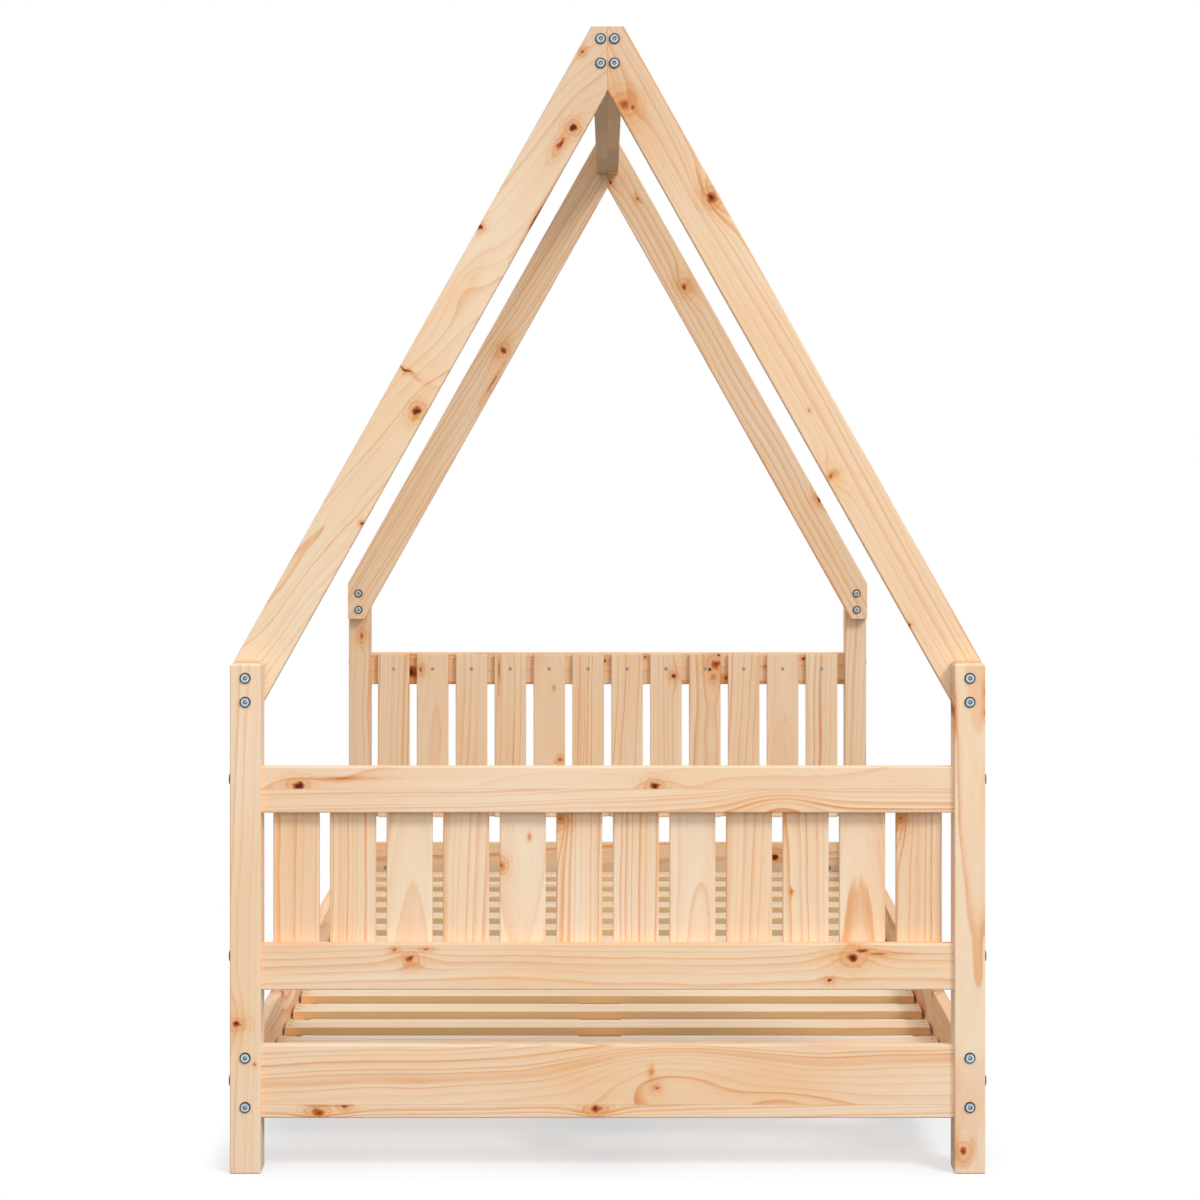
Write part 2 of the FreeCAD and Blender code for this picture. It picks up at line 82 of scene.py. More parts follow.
def calc(tree, operation, *values, clamp=False):
    node = put(tree, "ShaderNodeMath", operation=operation, use_clamp=clamp)
    for socket, value in zip(node.inputs, values):
        feed(tree, socket, value)
    return node.outputs[0]


def vectorCalc(tree, operation, *values, output="Vector"):
    node = put(tree, "ShaderNodeVectorMath", operation=operation)
    for socket, value in zip(node.inputs, values):
        feed(tree, socket, value)
    return node.outputs[output]


def scaled(tree, vector, factor):
    node = put(tree, "ShaderNodeVectorMath", operation="SCALE")
    feed(tree, node.inputs[0], vector)
    feed(tree, node.inputs["Scale"], factor)
    return node.outputs[0]


def split(tree, vector):
    node = put(tree, "ShaderNodeSeparateXYZ")
    feed(tree, node.inputs[0], vector)
    return node.outputs


def joined(tree, *values):
    node = put(tree, "ShaderNodeCombineXYZ")
    for socket, value in zip(node.inputs, values):
        feed(tree, socket, value)
    return node.outputs[0]


def noise(tree, vector, seed, scale, detail=2.0, output="Fac"):
    node = put(tree, "ShaderNodeTexNoise", noise_dimensions="4D")
    feed(tree, node.inputs["Vector"], vectorCalc(tree, "MULTIPLY", vector, scale))
    feed(tree, node.inputs["W"], seed)
    feed(tree, node.inputs["Scale"], 1.0)
    feed(tree, node.inputs["Detail"], detail)
    return node.outputs[output]


def rangeMap(tree, value, low, high, toLow=0.0, toHigh=1.0, smooth=True):
    kind = "SMOOTHSTEP" if smooth else "LINEAR"
    node = put(tree, "ShaderNodeMapRange", interpolation_type=kind)
    for socket, number in zip(node.inputs, (value, low, high, toLow, toHigh)):
        feed(tree, socket, number)
    return node.outputs[0]


def mixColour(tree, amount, first, second, blend="MIX"):
    node = put(tree, "ShaderNodeMix", data_type="RGBA", blend_type=blend)
    feed(tree, node.inputs[0], amount)
    feed(tree, node.inputs[6], first)
    feed(tree, node.inputs[7], second)
    return node.outputs[2]


def mixValue(tree, amount, first, second):
    return calc(tree, "ADD", calc(tree, "MULTIPLY", second, amount),
                calc(tree, "MULTIPLY", first, calc(tree, "SUBTRACT", 1.0, amount)))


def newGroup(name, inputs, outputs):
    tree = bpy.data.node_groups.new(name, "ShaderNodeTree")
    for label, kind, value in inputs:
        socket = tree.interface.new_socket(label, in_out="INPUT", socket_type="NodeSocket" + kind)
        if value is not None:
            socket.default_value = value
    for label, kind in outputs:
        tree.interface.new_socket(label, in_out="OUTPUT", socket_type="NodeSocket" + kind)
    return tree, tree.nodes.new("NodeGroupInput").outputs, tree.nodes.new("NodeGroupOutput").inputs


def useGroup(tree, group, **values):
    node = put(tree, "ShaderNodeGroup", node_tree=group)
    for label, value in values.items():
        feed(tree, node.inputs[label], value)
    return node.outputs


def onScreen(red, green, blue):  # a colour as it is read off a screen, 0 to 255
    def linear(channel):
        share = channel / 255
        return share / 12.92 if share <= 0.04045 else ((share + 0.055) / 1.055) ** 2.4
    return (linear(red), linear(green), linear(blue), 1.0)


# pine, in board space: x along the grain, y across the board, z through it

pineColours = {
    "early": onScreen(243, 220, 192),
    "late": onScreen(231, 164, 106),
    "lateDark": onScreen(192, 118, 64),
    "warm": onScreen(240, 197, 150),
    "pale": onScreen(247, 231, 203),
    "halo": onScreen(222, 152, 92),
    "end": onScreen(206, 158, 112),
    "sawnFaceAndShade": onScreen(242, 192, 132),
    "glueAndSeamShade": onScreen(202, 150, 102),
}
knotRings = [  # distance from the knot's heart in knot radii, colour
    (0.00, onScreen(70, 30, 15)),
    (0.22, onScreen(122, 54, 25)),
    (0.48, onScreen(176, 92, 46)),
    (0.76, onScreen(192, 108, 58)),
    (1.00, onScreen(220, 150, 94)),
]
noKnot = {"Hill": 0.0, "Nearness": 9.0, "Shade": 0.5}  # height of a swell, knot radii to a knot, its darkness
nearKnot = {  # lengths in knot radii
    "bend": 2.0,  # how far the outline is pushed about
    "bendScale": 0.55,  # bends to a radius
    "swellAlong": 0.36,  # how much less a swell falls away along the board than across it
    "swellReach": 2.1,
    "swellHeight": 1.7,
    "seedSpread": 97.0,
}
knotSockets = [("Point", "Vector", None)] + [(label, "Float", value) for label, value in noKnot.items()]


def centred(tree, colour):  # a noise's colour, as a shift to both sides of nought
    return vectorCalc(tree, "SUBTRACT", colour, (0.5, 0.5, 0.5))


def squared(tree, value):
    return calc(tree, "MULTIPLY", value, value)


def makeKnotGroup():
    tree, given, result = newGroup(
        "pineKnot",
        knotSockets + [("Centre", "Vector", None), ("Radius", "Float", 0.005), ("Length", "Float", 1.3),
                       ("Lean", "Float", 0.15), ("Dark", "Float", 0.5), ("Pull", "Float", 1.0)],
        [(label, "Float") for label in noKnot])
    offset = vectorCalc(tree, "SUBTRACT", given["Point"], given["Centre"])
    # a ragged outline, with bends as large as the knot itself
    finer = scaled(tree, offset, calc(tree, "DIVIDE", nearKnot["bendScale"], given["Radius"]))
    own = calc(tree, "MULTIPLY", split(tree, given["Centre"])[0], nearKnot["seedSpread"])
    bends = centred(tree, noise(tree, finer, own, (1, 1, 1), output="Color"))
    bends = scaled(tree, bends, calc(tree, "MULTIPLY", given["Radius"], nearKnot["bend"]))
    x, y, z = split(tree, vectorCalc(tree, "ADD", offset, bends))
    leaned = calc(tree, "SUBTRACT", x, calc(tree, "MULTIPLY", z, given["Lean"]))
    flat = joined(tree, calc(tree, "DIVIDE", leaned, given["Length"]), y)
    near = calc(tree, "DIVIDE", vectorCalc(tree, "LENGTH", flat, output="Value"), given["Radius"])
    # the grain swells over the knot, further along the board than across it
    x, y = split(tree, offset)[:2]
    swellFlat = joined(tree, calc(tree, "MULTIPLY", x, nearKnot["swellAlong"]), y)
    swell = calc(tree, "DIVIDE", vectorCalc(tree, "LENGTH", swellFlat, output="Value"),
                 calc(tree, "MULTIPLY", given["Radius"], nearKnot["swellReach"]))
    falling = calc(tree, "EXPONENT", calc(tree, "MULTIPLY", squared(tree, swell), -1.0))
    height = calc(tree, "MULTIPLY", calc(tree, "MULTIPLY", given["Radius"], given["Pull"]),
                  nearKnot["swellHeight"])
    feed(tree, result["Hill"], calc(tree, "MULTIPLY_ADD", falling, height, given["Hill"]))
    feed(tree, result["Nearness"], calc(tree, "MINIMUM", given["Nearness"], near))
    nearer = calc(tree, "LESS_THAN", near, given["Nearness"])
    feed(tree, result["Shade"], mixValue(tree, nearer, given["Shade"], given["Dark"]))
    return tree


def bell(tree, value, width):  # 1 at nought, falling away over the width
    share = calc(tree, "DIVIDE", value, width)
    return calc(tree, "EXPONENT", calc(tree, "MULTIPLY", squared(tree, share), -1.0))


# the wood's noises: scale along, across and through the board, shift of the seed, detail
grainNoise = {
    "slow": ((2.6, 9.0, 9.0), 0.0, 1.0),
    "quick": ((8.0, 16.0, 16.0), 1.3, 1.0),
    "rough": ((9.0, 90.0, 90.0), 0.0, 2.0),
    "fade": ((3.0, 55.0, 55.0), 2.0, 2.0),
    "streak": ((2.0, 50.0, 50.0), 0.0, 3.0),
    "narrow": ((5.0, 200.0, 200.0), 4.0, 2.0),
    "fibre": ((16.0, 900.0, 900.0), 0.0, 2.0),
    "patch": ((3.0, 12.0, 12.0), 7.0, 2.0),
    "canals": ((42.0, 430.0, 430.0), 0.0, 0.0),
}


def grainOf(tree, given, kind, output="Fac"):
    scale, shift, detail = grainNoise[kind]
    seed = calc(tree, "ADD", given["Seed"], shift) if shift else given["Seed"]
    return noise(tree, given["Point"], seed, scale, detail, output)


pith = {"quick": 0.33, "reach": 2.4}  # how much its quick bends count, and its wandering as a whole


def fromPith(tree, given):  # how far the fibre lies from the heart of the log, which wanders along the board
    slow = centred(tree, grainOf(tree, given, "slow", "Color"))
    quick = centred(tree, grainOf(tree, given, "quick", "Color"))
    drift = scaled(tree, vectorCalc(tree, "ADD", slow, scaled(tree, quick, pith["quick"])),
                   calc(tree, "MULTIPLY", given["Wander"], pith["reach"]))
    leaning = scaled(tree, given["Tilt"], split(tree, given["Point"])[0])
    offset = vectorCalc(tree, "SUBTRACT", given["Point"], given["Pith"])
    offset = vectorCalc(tree, "SUBTRACT", offset, leaning)
    section = vectorCalc(tree, "MULTIPLY", vectorCalc(tree, "ADD", offset, drift), (0.0, 1.0, 1.0))
    return calc(tree, "SUBTRACT", vectorCalc(tree, "LENGTH", section, output="Value"), given["Hill"])


years = {
    "uneven": (0.6, 1.5),  # how soon the width of a year changes, and by how much
    "rough": 0.24,  # how ragged the lines are, as a share of a year
    "strength": (1.2, 0.80, 0.20),  # power, spread and least strength of a year
    "width": 4.8 * mm,  # of the dark end of a year
    "earliest": 0.2,  # the share of a year that stays pale at the least
    "end": 0.92,  # where a year is darkest
    "power": 1.6,  # how steeply it darkens
    "soft": (0.3, 0.1),  # share and start of the soft rise before it
    "fade": (1.9, 0.15),  # how much a line's strength changes along it, and its least
    "atKnots": (3.0, 1.2),  # reach in knot radii, extra strength
    "thin": (2.7, 0.3, 0.35, 0.85),  # fine lines to a year, their shift, where one begins and is darkest
}


def yearLines(tree, given):  # the dark end of each year, and finer lines between
    even = calc(tree, "ADD", calc(tree, "DIVIDE", fromPith(tree, given), given["Ring"]), given["Phase"])
    # wide and narrow years, each with its own strength
    step, spread = years["uneven"]
    widths = put(tree, "ShaderNodeTexNoise", noise_dimensions="1D")
    feed(tree, widths.inputs["W"], calc(tree, "MULTIPLY_ADD", even, step, given["Seed"]))
    feed(tree, widths.inputs["Scale"], 1.0)
    feed(tree, widths.inputs["Detail"], 1.0)
    rings = calc(tree, "MULTIPLY_ADD", widths.outputs["Fac"], spread, even)
    rings = calc(tree, "MULTIPLY_ADD", grainOf(tree, given, "rough"), years["rough"], rings)
    phase = calc(tree, "FRACT", rings)
    year = calc(tree, "FLOOR", rings)
    luck = put(tree, "ShaderNodeTexWhiteNoise", noise_dimensions="2D")
    feed(tree, luck.inputs["Vector"], joined(tree, year, given["Seed"]))
    power, spread, least = years["strength"]
    strength = calc(tree, "MULTIPLY_ADD", calc(tree, "POWER", luck.outputs["Value"], power), spread, least)
    start = calc(tree, "SUBTRACT", 1.0, calc(tree, "DIVIDE", years["width"], given["Ring"]))
    start = calc(tree, "MAXIMUM", start, years["earliest"])
    rising = calc(tree, "POWER", rangeMap(tree, phase, start, years["end"]), years["power"])
    softShare, softStart = years["soft"]
    rising = mixValue(tree, softShare, rising, rangeMap(tree, phase, softStart, years["end"]))
    ending = rangeMap(tree, phase, years["end"], 1.0, 1.0, 0.0)
    late = calc(tree, "MULTIPLY", calc(tree, "MULTIPLY", rising, ending), strength)
    fade = calc(tree, "MULTIPLY_ADD", grainOf(tree, given, "fade"), *years["fade"])
    late = calc(tree, "MULTIPLY", late, fade)
    reach, extra = years["atKnots"]
    stronger = calc(tree, "MULTIPLY_ADD", bell(tree, given["Nearness"], reach), extra, 1.0)
    late = calc(tree, "MULTIPLY", late, stronger)
    count, shift, begins, darkest = years["thin"]
    thin = calc(tree, "FRACT", calc(tree, "MULTIPLY_ADD", rings, count, shift))
    thinRise = rangeMap(tree, thin, begins, darkest)
    thin = calc(tree, "MULTIPLY", thinRise, rangeMap(tree, thin, darkest, 1.0, 1.0, 0.0))
    return late, thin


figure = {
    "canals": (0.74, 0.80, 0.20),  # noise at which a resin canal starts, at which it is full, its darkness
    "patch": 1.5,  # how much the warmth changes from place to place
    "warmSwell": (45.0, 0.4),  # warmth per metre of swell, and its most
    "middle": 0.45,  # noise value at which a streak leaves the colour as it is
    "streak": 0.40,
    "narrow": 0.20,
    "thin": 0.07,
    "fibre": 0.08,
    "dark": 0.28,  # share of the darkest colour where the lines are strongest
    "end": 0.45,  # share of the end grain's colour
}


def bareWood(tree, given, late, thin):
    # broad streaks along the grain, fine fibres and short resin canals
    streak, narrow, fibre, patch, canals = (
        grainOf(tree, given, kind) for kind in ("streak", "narrow", "fibre", "patch", "canals"))
    canalStart, canalFull, canalDark = figure["canals"]
    canals = rangeMap(tree, canals, canalStart, canalFull)
    warmth = calc(tree, "MULTIPLY_ADD", calc(tree, "SUBTRACT", patch, 0.5), figure["patch"], given["Warmth"])
    perMetre, most = figure["warmSwell"]
    swell = calc(tree, "MINIMUM", calc(tree, "MULTIPLY", given["Hill"], perMetre), most)
    warmth = calc(tree, "ADD", warmth, swell, clamp=True)
    ground = mixColour(tree, given["Pale"], pineColours["early"], pineColours["pale"])
    ground = mixColour(tree, warmth, ground, pineColours["warm"])
    share = calc(tree, "MULTIPLY_ADD", thin, figure["thin"], late)
    for kind, value in (("streak", streak), ("narrow", narrow)):
        above = calc(tree, "SUBTRACT", value, figure["middle"])
        share = calc(tree, "ADD", share, calc(tree, "MULTIPLY", above, figure[kind]))
    share = calc(tree, "MULTIPLY", share, given["Contrast"])
    share = calc(tree, "ADD", share, calc(tree, "MULTIPLY", canals, canalDark), clamp=True)
    wood = mixColour(tree, share, ground, pineColours["late"])
    darkest = calc(tree, "MULTIPLY", squared(tree, share), figure["dark"])
    return mixColour(tree, darkest, wood, pineColours["lateDark"]), share, fibre


knotLook = {
    "seed": 8.2,
    "blotch": (90.0, 140.0, 140.0),  # scale of the noise
    "arcs": (4.6, -1.0, 3.0, 1.1),  # broken rings: how close, shift, reach, strength
    "halo": (2.2, 0.66),  # reach in knot radii, strength
    "ragged": 0.8,  # how far the blotches push the knot's rings about
    "byShade": 0.8,  # how far a pale knot takes the colours further out
    "ripple": (19.0, 0.07),  # fine rings in the knot: how close, how deep
    "edge": (0.72, 1.22),  # where the knot's colours begin to end, and where they have ended
    "relief": 0.4,
}


def addKnots(tree, given, wood):
    # the wood darkens in broken rings towards a knot
    nearness = given["Nearness"]
    blotch = noise(tree, given["Point"], knotLook["seed"], knotLook["blotch"])
    close, shift, reach, strength = knotLook["arcs"]
    arcs = calc(tree, "MAXIMUM", calc(tree, "SINE", calc(tree, "MULTIPLY_ADD", nearness, close, shift)), 0.0)
    arcs = calc(tree, "MULTIPLY", squared(tree, arcs), bell(tree, nearness, reach))
    arcs = calc(tree, "MULTIPLY", arcs, blotch)
    haloReach, haloStrength = knotLook["halo"]
    halo = calc(tree, "MULTIPLY_ADD", bell(tree, nearness, haloReach), haloStrength,
                calc(tree, "MULTIPLY", arcs, strength), clamp=True)
    wood = mixColour(tree, halo, wood, pineColours["halo"])
    knotRamp = put(tree, "ShaderNodeValToRGB")
    ramp = knotRamp.color_ramp
    while len(ramp.elements) < len(knotRings):
        ramp.elements.new(0.5)
    for element, (place, colour) in zip(ramp.elements, knotRings):
        element.position = place
        element.color = colour
    place = calc(tree, "MULTIPLY_ADD", calc(tree, "SUBTRACT", blotch, 0.5), knotLook["ragged"], nearness)
    paler = calc(tree, "SUBTRACT", 0.5, given["Shade"])
    place = calc(tree, "MULTIPLY_ADD", paler, knotLook["byShade"], place)
    often, deep = knotLook["ripple"]
    ripple = calc(tree, "SINE", calc(tree, "MULTIPLY", nearness, often))
    feed(tree, knotRamp.inputs[0], calc(tree, "MULTIPLY_ADD", ripple, deep, place))
    knotShare = rangeMap(tree, nearness, *knotLook["edge"], 1.0, 0.0)
    return mixColour(tree, knotShare, wood, knotRamp.outputs[0]), knotShare


woodSurface = {"roughness": (-0.12, 0.62), "fibreRelief": 0.35}


def makePineGroup():
    tree, given, result = newGroup(
        "pineWood",
        knotSockets + [("Pith", "Vector", None), ("Tilt", "Vector", None), ("Ring", "Float", 0.008),
                       ("Wander", "Float", 0.004), ("Contrast", "Float", 0.6), ("Warmth", "Float", 0.3),
                       ("Pale", "Float", 0.0), ("End", "Float", 0.0), ("Phase", "Float", 0.0),
                       ("Seed", "Float", 0.0)],
        [("Color", "Color"), ("Roughness", "Float"), ("Height", "Float")])
    late, thin = yearLines(tree, given)
    wood, share, fibre = bareWood(tree, given, late, thin)
    wood, knotShare = addKnots(tree, given, wood)
    wood = mixColour(tree, calc(tree, "MULTIPLY", given["End"], figure["end"]), wood, pineColours["end"])
    light = calc(tree, "MULTIPLY_ADD", calc(tree, "SUBTRACT", fibre, 0.5), figure["fibre"], 1.0)
    wood = mixColour(tree, 1.0, wood, joined(tree, light, light, light), "MULTIPLY")
    feed(tree, result["Color"], wood)
    feed(tree, result["Roughness"], calc(tree, "MULTIPLY_ADD", share, *woodSurface["roughness"]))
    relief = calc(tree, "MULTIPLY_ADD", fibre, woodSurface["fibreRelief"], share)
    relief = calc(tree, "ADD", relief, calc(tree, "MULTIPLY", knotShare, knotLook["relief"]))
    feed(tree, result["Height"], relief)
    return tree


knotGroup = makeKnotGroup()
pineGroup = makePineGroup()

# how a board was cut from the log: pith across and through it in mm, lean of the pith per metre,
# width of a year and how far the grain wanders, both in mm
cuts = {
    "flat": {"pith": (6, -46), "tilt": (0.012, 0.022), "ring": 9.0, "wander": 9.0},
    "broad": {"pith": (9, -58), "tilt": (0.012, 0.030), "ring": 12.0, "wander": 13.0},
    "flame": {"pith": (5, -44), "tilt": (0.020, 0.100), "ring": 9.0, "wander": 7.0},
    "rift": {"pith": (-62, -46), "tilt": (0.022, 0.010), "ring": 9.0, "wander": 7.0},
    "fine": {"pith": (-75, -30), "tilt": (0.014, 0.006), "ring": 6.0, "wander": 5.0},
    "wild": {"pith": (-40, -40), "tilt": (0.120, 0.060), "ring": 12.0, "wander": 24.0},
}
boardFinish = {"roughBump": 0.28, "bumpDepth": 0.25 * mm, "specular": 0.30,
               "facing": (0.7, 0.95)}  # how squarely a face looks along the grain to be an end, from, full
boardChance = {"pith": (0.85, 1.2), "tilt": (0.6, 1.4), "lean": 0.3, "ring": (0.94, 1.08), "warmth": 0.06}
seedStep = {"dice": 7919, "diceShift": 13, "noise": 3.7, "strip": 500, "stripNoise": 5.3}


def boardPoint(tree, centre, grain, across):
    turn = Matrix((grain, across, grain.cross(across))).transposed()
    coordinates = put(tree, "ShaderNodeTexCoord")
    mapping = put(tree, "ShaderNodeMapping", vector_type="TEXTURE")
    feed(tree, mapping.inputs["Vector"], coordinates.outputs["Object"])
    mapping.inputs["Location"].default_value = centre
    mapping.inputs["Rotation"].default_value = turn.to_euler()

    def facing(direction):
        along = vectorCalc(tree, "DOT_PRODUCT", coordinates.outputs["Normal"], direction, output="Value")
        return rangeMap(tree, calc(tree, "ABSOLUTE", along), *boardFinish["facing"])
    return mapping.outputs[0], facing(grain), facing(across)


def woodAt(tree, point, end, seedValue, seed, cut="rift", knots=(), swells=(), contrast=0.8, warmth=0.3,
           pale=0.0, ring=None, wander=None, turn=None, side=None, phase=0.0):
    dice = random.Random(seed * seedStep["dice"] + seedStep["diceShift"])
    look = cuts[cut]
    pithY, pithZ = (value * mm * dice.uniform(*boardChance["pith"]) for value in look["pith"])
    pithY, pithZ = abs(pithY) * dice.choice((-1, 1)), pithZ * dice.choice((-1, 1))
    pithY *= side * math.copysign(1, pithY) if side else 1  # the side of the board nearer to the heart
    flame = turn or dice.choice((-1, 1))  # which way along the board the grain's points look
    tiltY, tiltZ = (value * dice.uniform(*boardChance["tilt"]) for value in look["tilt"])
    tiltZ *= flame * math.copysign(1, pithZ)
    lean, warmer = boardChance["lean"], boardChance["warmth"]
    soFar = dict(noKnot)
    for x, y, radius, length, dark, pull in knots:
        made = useGroup(tree, knotGroup, Point=point, Centre=(x * mm, y * mm, 0), Radius=radius * mm,
                        Length=length, Lean=dice.uniform(-lean, lean), Dark=dark, Pull=pull, **soFar)
        soFar = {label: made[label] for label in noKnot}
    for x, y, radius, pull in swells:
        made = useGroup(tree, knotGroup, Point=point, Hill=soFar["Hill"], Centre=(x * mm, y * mm, 0),
                        Radius=radius * mm, Pull=pull)
        soFar["Hill"] = made["Hill"]
    return useGroup(tree, pineGroup, Point=point, Pith=(0, pithY, pithZ), Tilt=(0, tiltY, tiltZ),
                    Ring=(ring or look["ring"]) * mm * dice.uniform(*boardChance["ring"]),
                    Wander=(wander or look["wander"]) * mm, Contrast=contrast,
                    Warmth=warmth + dice.uniform(-warmer, warmer), Pale=pale, End=end, Phase=phase,
                    Seed=seedValue, **soFar)


glueLinesAndSeamShade = {"strip": (0.7 * mm, 0.45), "seamWidth": 1.1 * mm}  # half width, strength


def pineMaterial(name, centre, grain, across, seed, glued=None, pieces=None, edge=0.0, tone=1.0,
                 tint=(1.0, 0.985, 0.96), seam=0.0, paintedEndShade=None, **look):
    material = bpy.data.materials.new(name)
    material.use_nodes = True
    tree = material.node_tree
    tree.nodes.clear()
    point, end, side = boardPoint(tree, centre, grain, across)
    seedValue, pieceToneAndShade = seed * seedStep["noise"], None
    if pieces:
        point, seedValue, pieceToneAndShade = pieces(tree, point, seed)
    wood = woodAt(tree, point, end, seedValue, seed, **look)
    colour, roughness, relief = wood["Color"], wood["Roughness"], wood["Height"]
    if glued:  # a second strip glued on below this height has a grain of its own
        height, strip = glued
        width, strength = glueLinesAndSeamShade["strip"]
        lower = woodAt(tree, point, end, seedValue + seedStep["stripNoise"], seed + seedStep["strip"],
                       **strip)
        over = calc(tree, "SUBTRACT", split(tree, point)[1], height * mm)
        above = calc(tree, "GREATER_THAN", over, 0.0)
        colour = mixColour(tree, above, lower["Color"], colour)
        roughness = mixValue(tree, above, lower["Roughness"], roughness)
        relief = mixValue(tree, above, lower["Height"], relief)
        line = rangeMap(tree, calc(tree, "ABSOLUTE", over), 0.0, width, strength, 0.0)
        colour = mixColour(tree, line, colour, pineColours["glueAndSeamShade"])
    # partly painted shade: the faces across the board take a darker, more orange sawn colour, partly the real
    # sawn face and partly standing in for the shade on the slats' front faces
    if edge:
        colour = mixColour(tree, calc(tree, "MULTIPLY", side, edge), colour, pineColours["sawnFaceAndShade"])
    if pieceToneAndShade is not None:
        colour = mixColour(tree, 1.0, colour, pieceToneAndShade, "MULTIPLY")
    if tone != 1.0:
        toned = (*(tone * share for share in tint), 1)
        if paintedEndShade:  # painted shade: the board darkens towards one end, where less light falls
            begins, full, shade = paintedEndShade
            darkened = (*(channel * less for channel, less in zip(toned, shade)), 1)
            dimmed = rangeMap(tree, split(tree, point)[0], begins * mm, full * mm)
            toned = mixColour(tree, dimmed, toned, darkened)
        colour = mixColour(tree, 1.0, colour, toned, "MULTIPLY")
    if seam:  # painted shadow: the fine dark line where two boards meet in the middle of the bed
        fromMiddle = calc(tree, "ABSOLUTE", split(tree, put(tree, "ShaderNodeTexCoord").outputs["Object"])[0])
        line = rangeMap(tree, fromMiddle, 0.0, glueLinesAndSeamShade["seamWidth"], seam, 0.0)
        colour = mixColour(tree, line, colour, pineColours["glueAndSeamShade"])
    surface = put(tree, "ShaderNodeBsdfPrincipled")
    feed(tree, surface.inputs["Base Color"], colour)
    feed(tree, surface.inputs["Roughness"], roughness)
    surface.inputs["Specular IOR Level"].default_value = boardFinish["specular"]
    bump = put(tree, "ShaderNodeBump")
    bump.inputs["Strength"].default_value = boardFinish["roughBump"]
    bump.inputs["Distance"].default_value = boardFinish["bumpDepth"]
    feed(tree, bump.inputs["Height"], relief)
    feed(tree, surface.inputs["Normal"], bump.outputs[0])
    output = put(tree, "ShaderNodeOutputMaterial")
    feed(tree, output.inputs["Surface"], surface.outputs[0])
    return material


def dress(node, grain, across, **look):
    low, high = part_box(node)
    material = pineMaterial(node + ".pine", (low + high) / 2, grain, across, **look)
    mesh = nodes[node].data
    mesh.materials.clear()
    mesh.materials.append(material)


# posts and rafters

def knot(x, y, radius, length=1.25, dark=0.5, pull=1.0):  # mm along and across from the board's middle
    return (x, y, radius, length, dark, pull)


headPaintedShade = 0.94  # painted shade: the boards of the head end are made a little darker, standing in for the light falling off towards the far end
posts = {
    "foot_left_post": {"cut": "rift", "seed": 1, "contrast": 0.44, "warmth": 0.30, "ring": 11.0, "knots": [
        knot(-131, -10.6, 6.8, 0.7, 0.7), knot(-187, 12.2, 1.4)]},
    "foot_right_post": {"cut": "flat", "seed": 2, "contrast": 0.60, "warmth": 0.17, "pale": 0.2, "knots": [
        knot(-296, -9, 5.2, 1.2, 0.6), knot(297, 19.5, 1.5, 4.0, 0.0, 0.2), knot(271, 20, 1.7, 4.0, 0.2, 0.2),
        knot(270, -21, 1.7, 7.0, 0.9, 0.1)]},
    "head_left_post": {"cut": "rift", "seed": 3, "contrast": 0.65, "warmth": 0.38, "tone": headPaintedShade,
                       "knots": [knot(230, 4, 4.6, 1.6, 0.1)]},
    "head_right_post": {"cut": "rift", "seed": 4, "contrast": 0.65, "warmth": 0.34, "tone": headPaintedShade},
}
for name, look in posts.items():
    dress(name, up, east, **look)

peakPaintedShade = (100, 520, (0.87, 0.80, 0.76))  # painted shade towards the peak, where less light falls: mm along the board, colour at the peak
rafters = {
    "foot_left_rafter": {
        "cut": "wild", "seed": 11, "contrast": 0.62, "warmth": 0.22, "pale": 0.4, "tone": 0.96, "seam": 0.8,
        "paintedEndShade": peakPaintedShade, "swells": [(120, -8, 8, 0.9)], "knots": [
            knot(468, -30, 2.6, 1.2, 0.4), knot(376, 10.5, 5.6, 0.9, 0.9), knot(346, 7, 3.4, 2.8, 0.5, 0.6),
            knot(249, 28, 1.3, 16.0, 0.6, 0.1), knot(203, -28, 3.6, 1.1, 0.8),
            knot(-11, -16, 11.0, 0.14, 0.55, 0.2), knot(-50, 24, 5.6, 1.1, 0.8),
            knot(-211, 37, 2.6, 1.0, 0.6)]},
    "foot_right_rafter": {
        "cut": "rift", "seed": 12, "contrast": 0.66, "warmth": 0.26, "tone": 0.97, "ring": 7.0, "wander": 5.0,
        "pale": 0.2, "seam": 0.8, "paintedEndShade": peakPaintedShade, "knots": [
            knot(410, -15, 8.4, 1.0, 0.1, 0.8), knot(400, -7, 3.4, 1.2, 0.3, 0.2),
            knot(247, 22, 6.8, 1.1, 0.6), knot(-54, -11, 1.1), knot(-146, -30, 5.6, 0.35, 0.0, 1.2),
            knot(-368, -41, 1.9)]},
    "head_left_rafter": {"cut": "rift", "seed": 13, "contrast": 0.85, "warmth": 0.36, "ring": 6.5,
                         "tone": headPaintedShade, "seam": 0.8, "knots": [
        knot(71, 12, 7.0, 1.1, 0.5), knot(8, 26, 1.8, 14.0, 0.2, 0.2), knot(-181, -28, 1.8, 1.4, 0.4)]},
    "head_right_rafter": {"cut": "rift", "seed": 14, "warmth": 0.38, "tone": headPaintedShade, "seam": 0.8, "knots": [
        knot(443, -15, 4.0, 1.2, 0.6), knot(393, 13, 2.5), knot(202, 5, 6.5, 1.2, 0.5),
        knot(-268, 19, 5.4, 1.2, 0.8, 1.6)]},
}


narrowSide = {"along": 0.05, "lean": (0.2, 0.95)}  # how far its normal looks along the bed, up or down


def slopeOf(node):  # the lean of a rafter, from the normals of its long narrow sides
    total = Vector((0, 0, 0))
    least, most = narrowSide["lean"]
    for face in nodes[node].data.polygons:
        normal = face.normal
        if abs(normal.y) < narrowSide["along"] and least < abs(normal.z) < most:
            total += normal * face.area * (1 if normal.z > 0 else -1)
    return total.normalized()


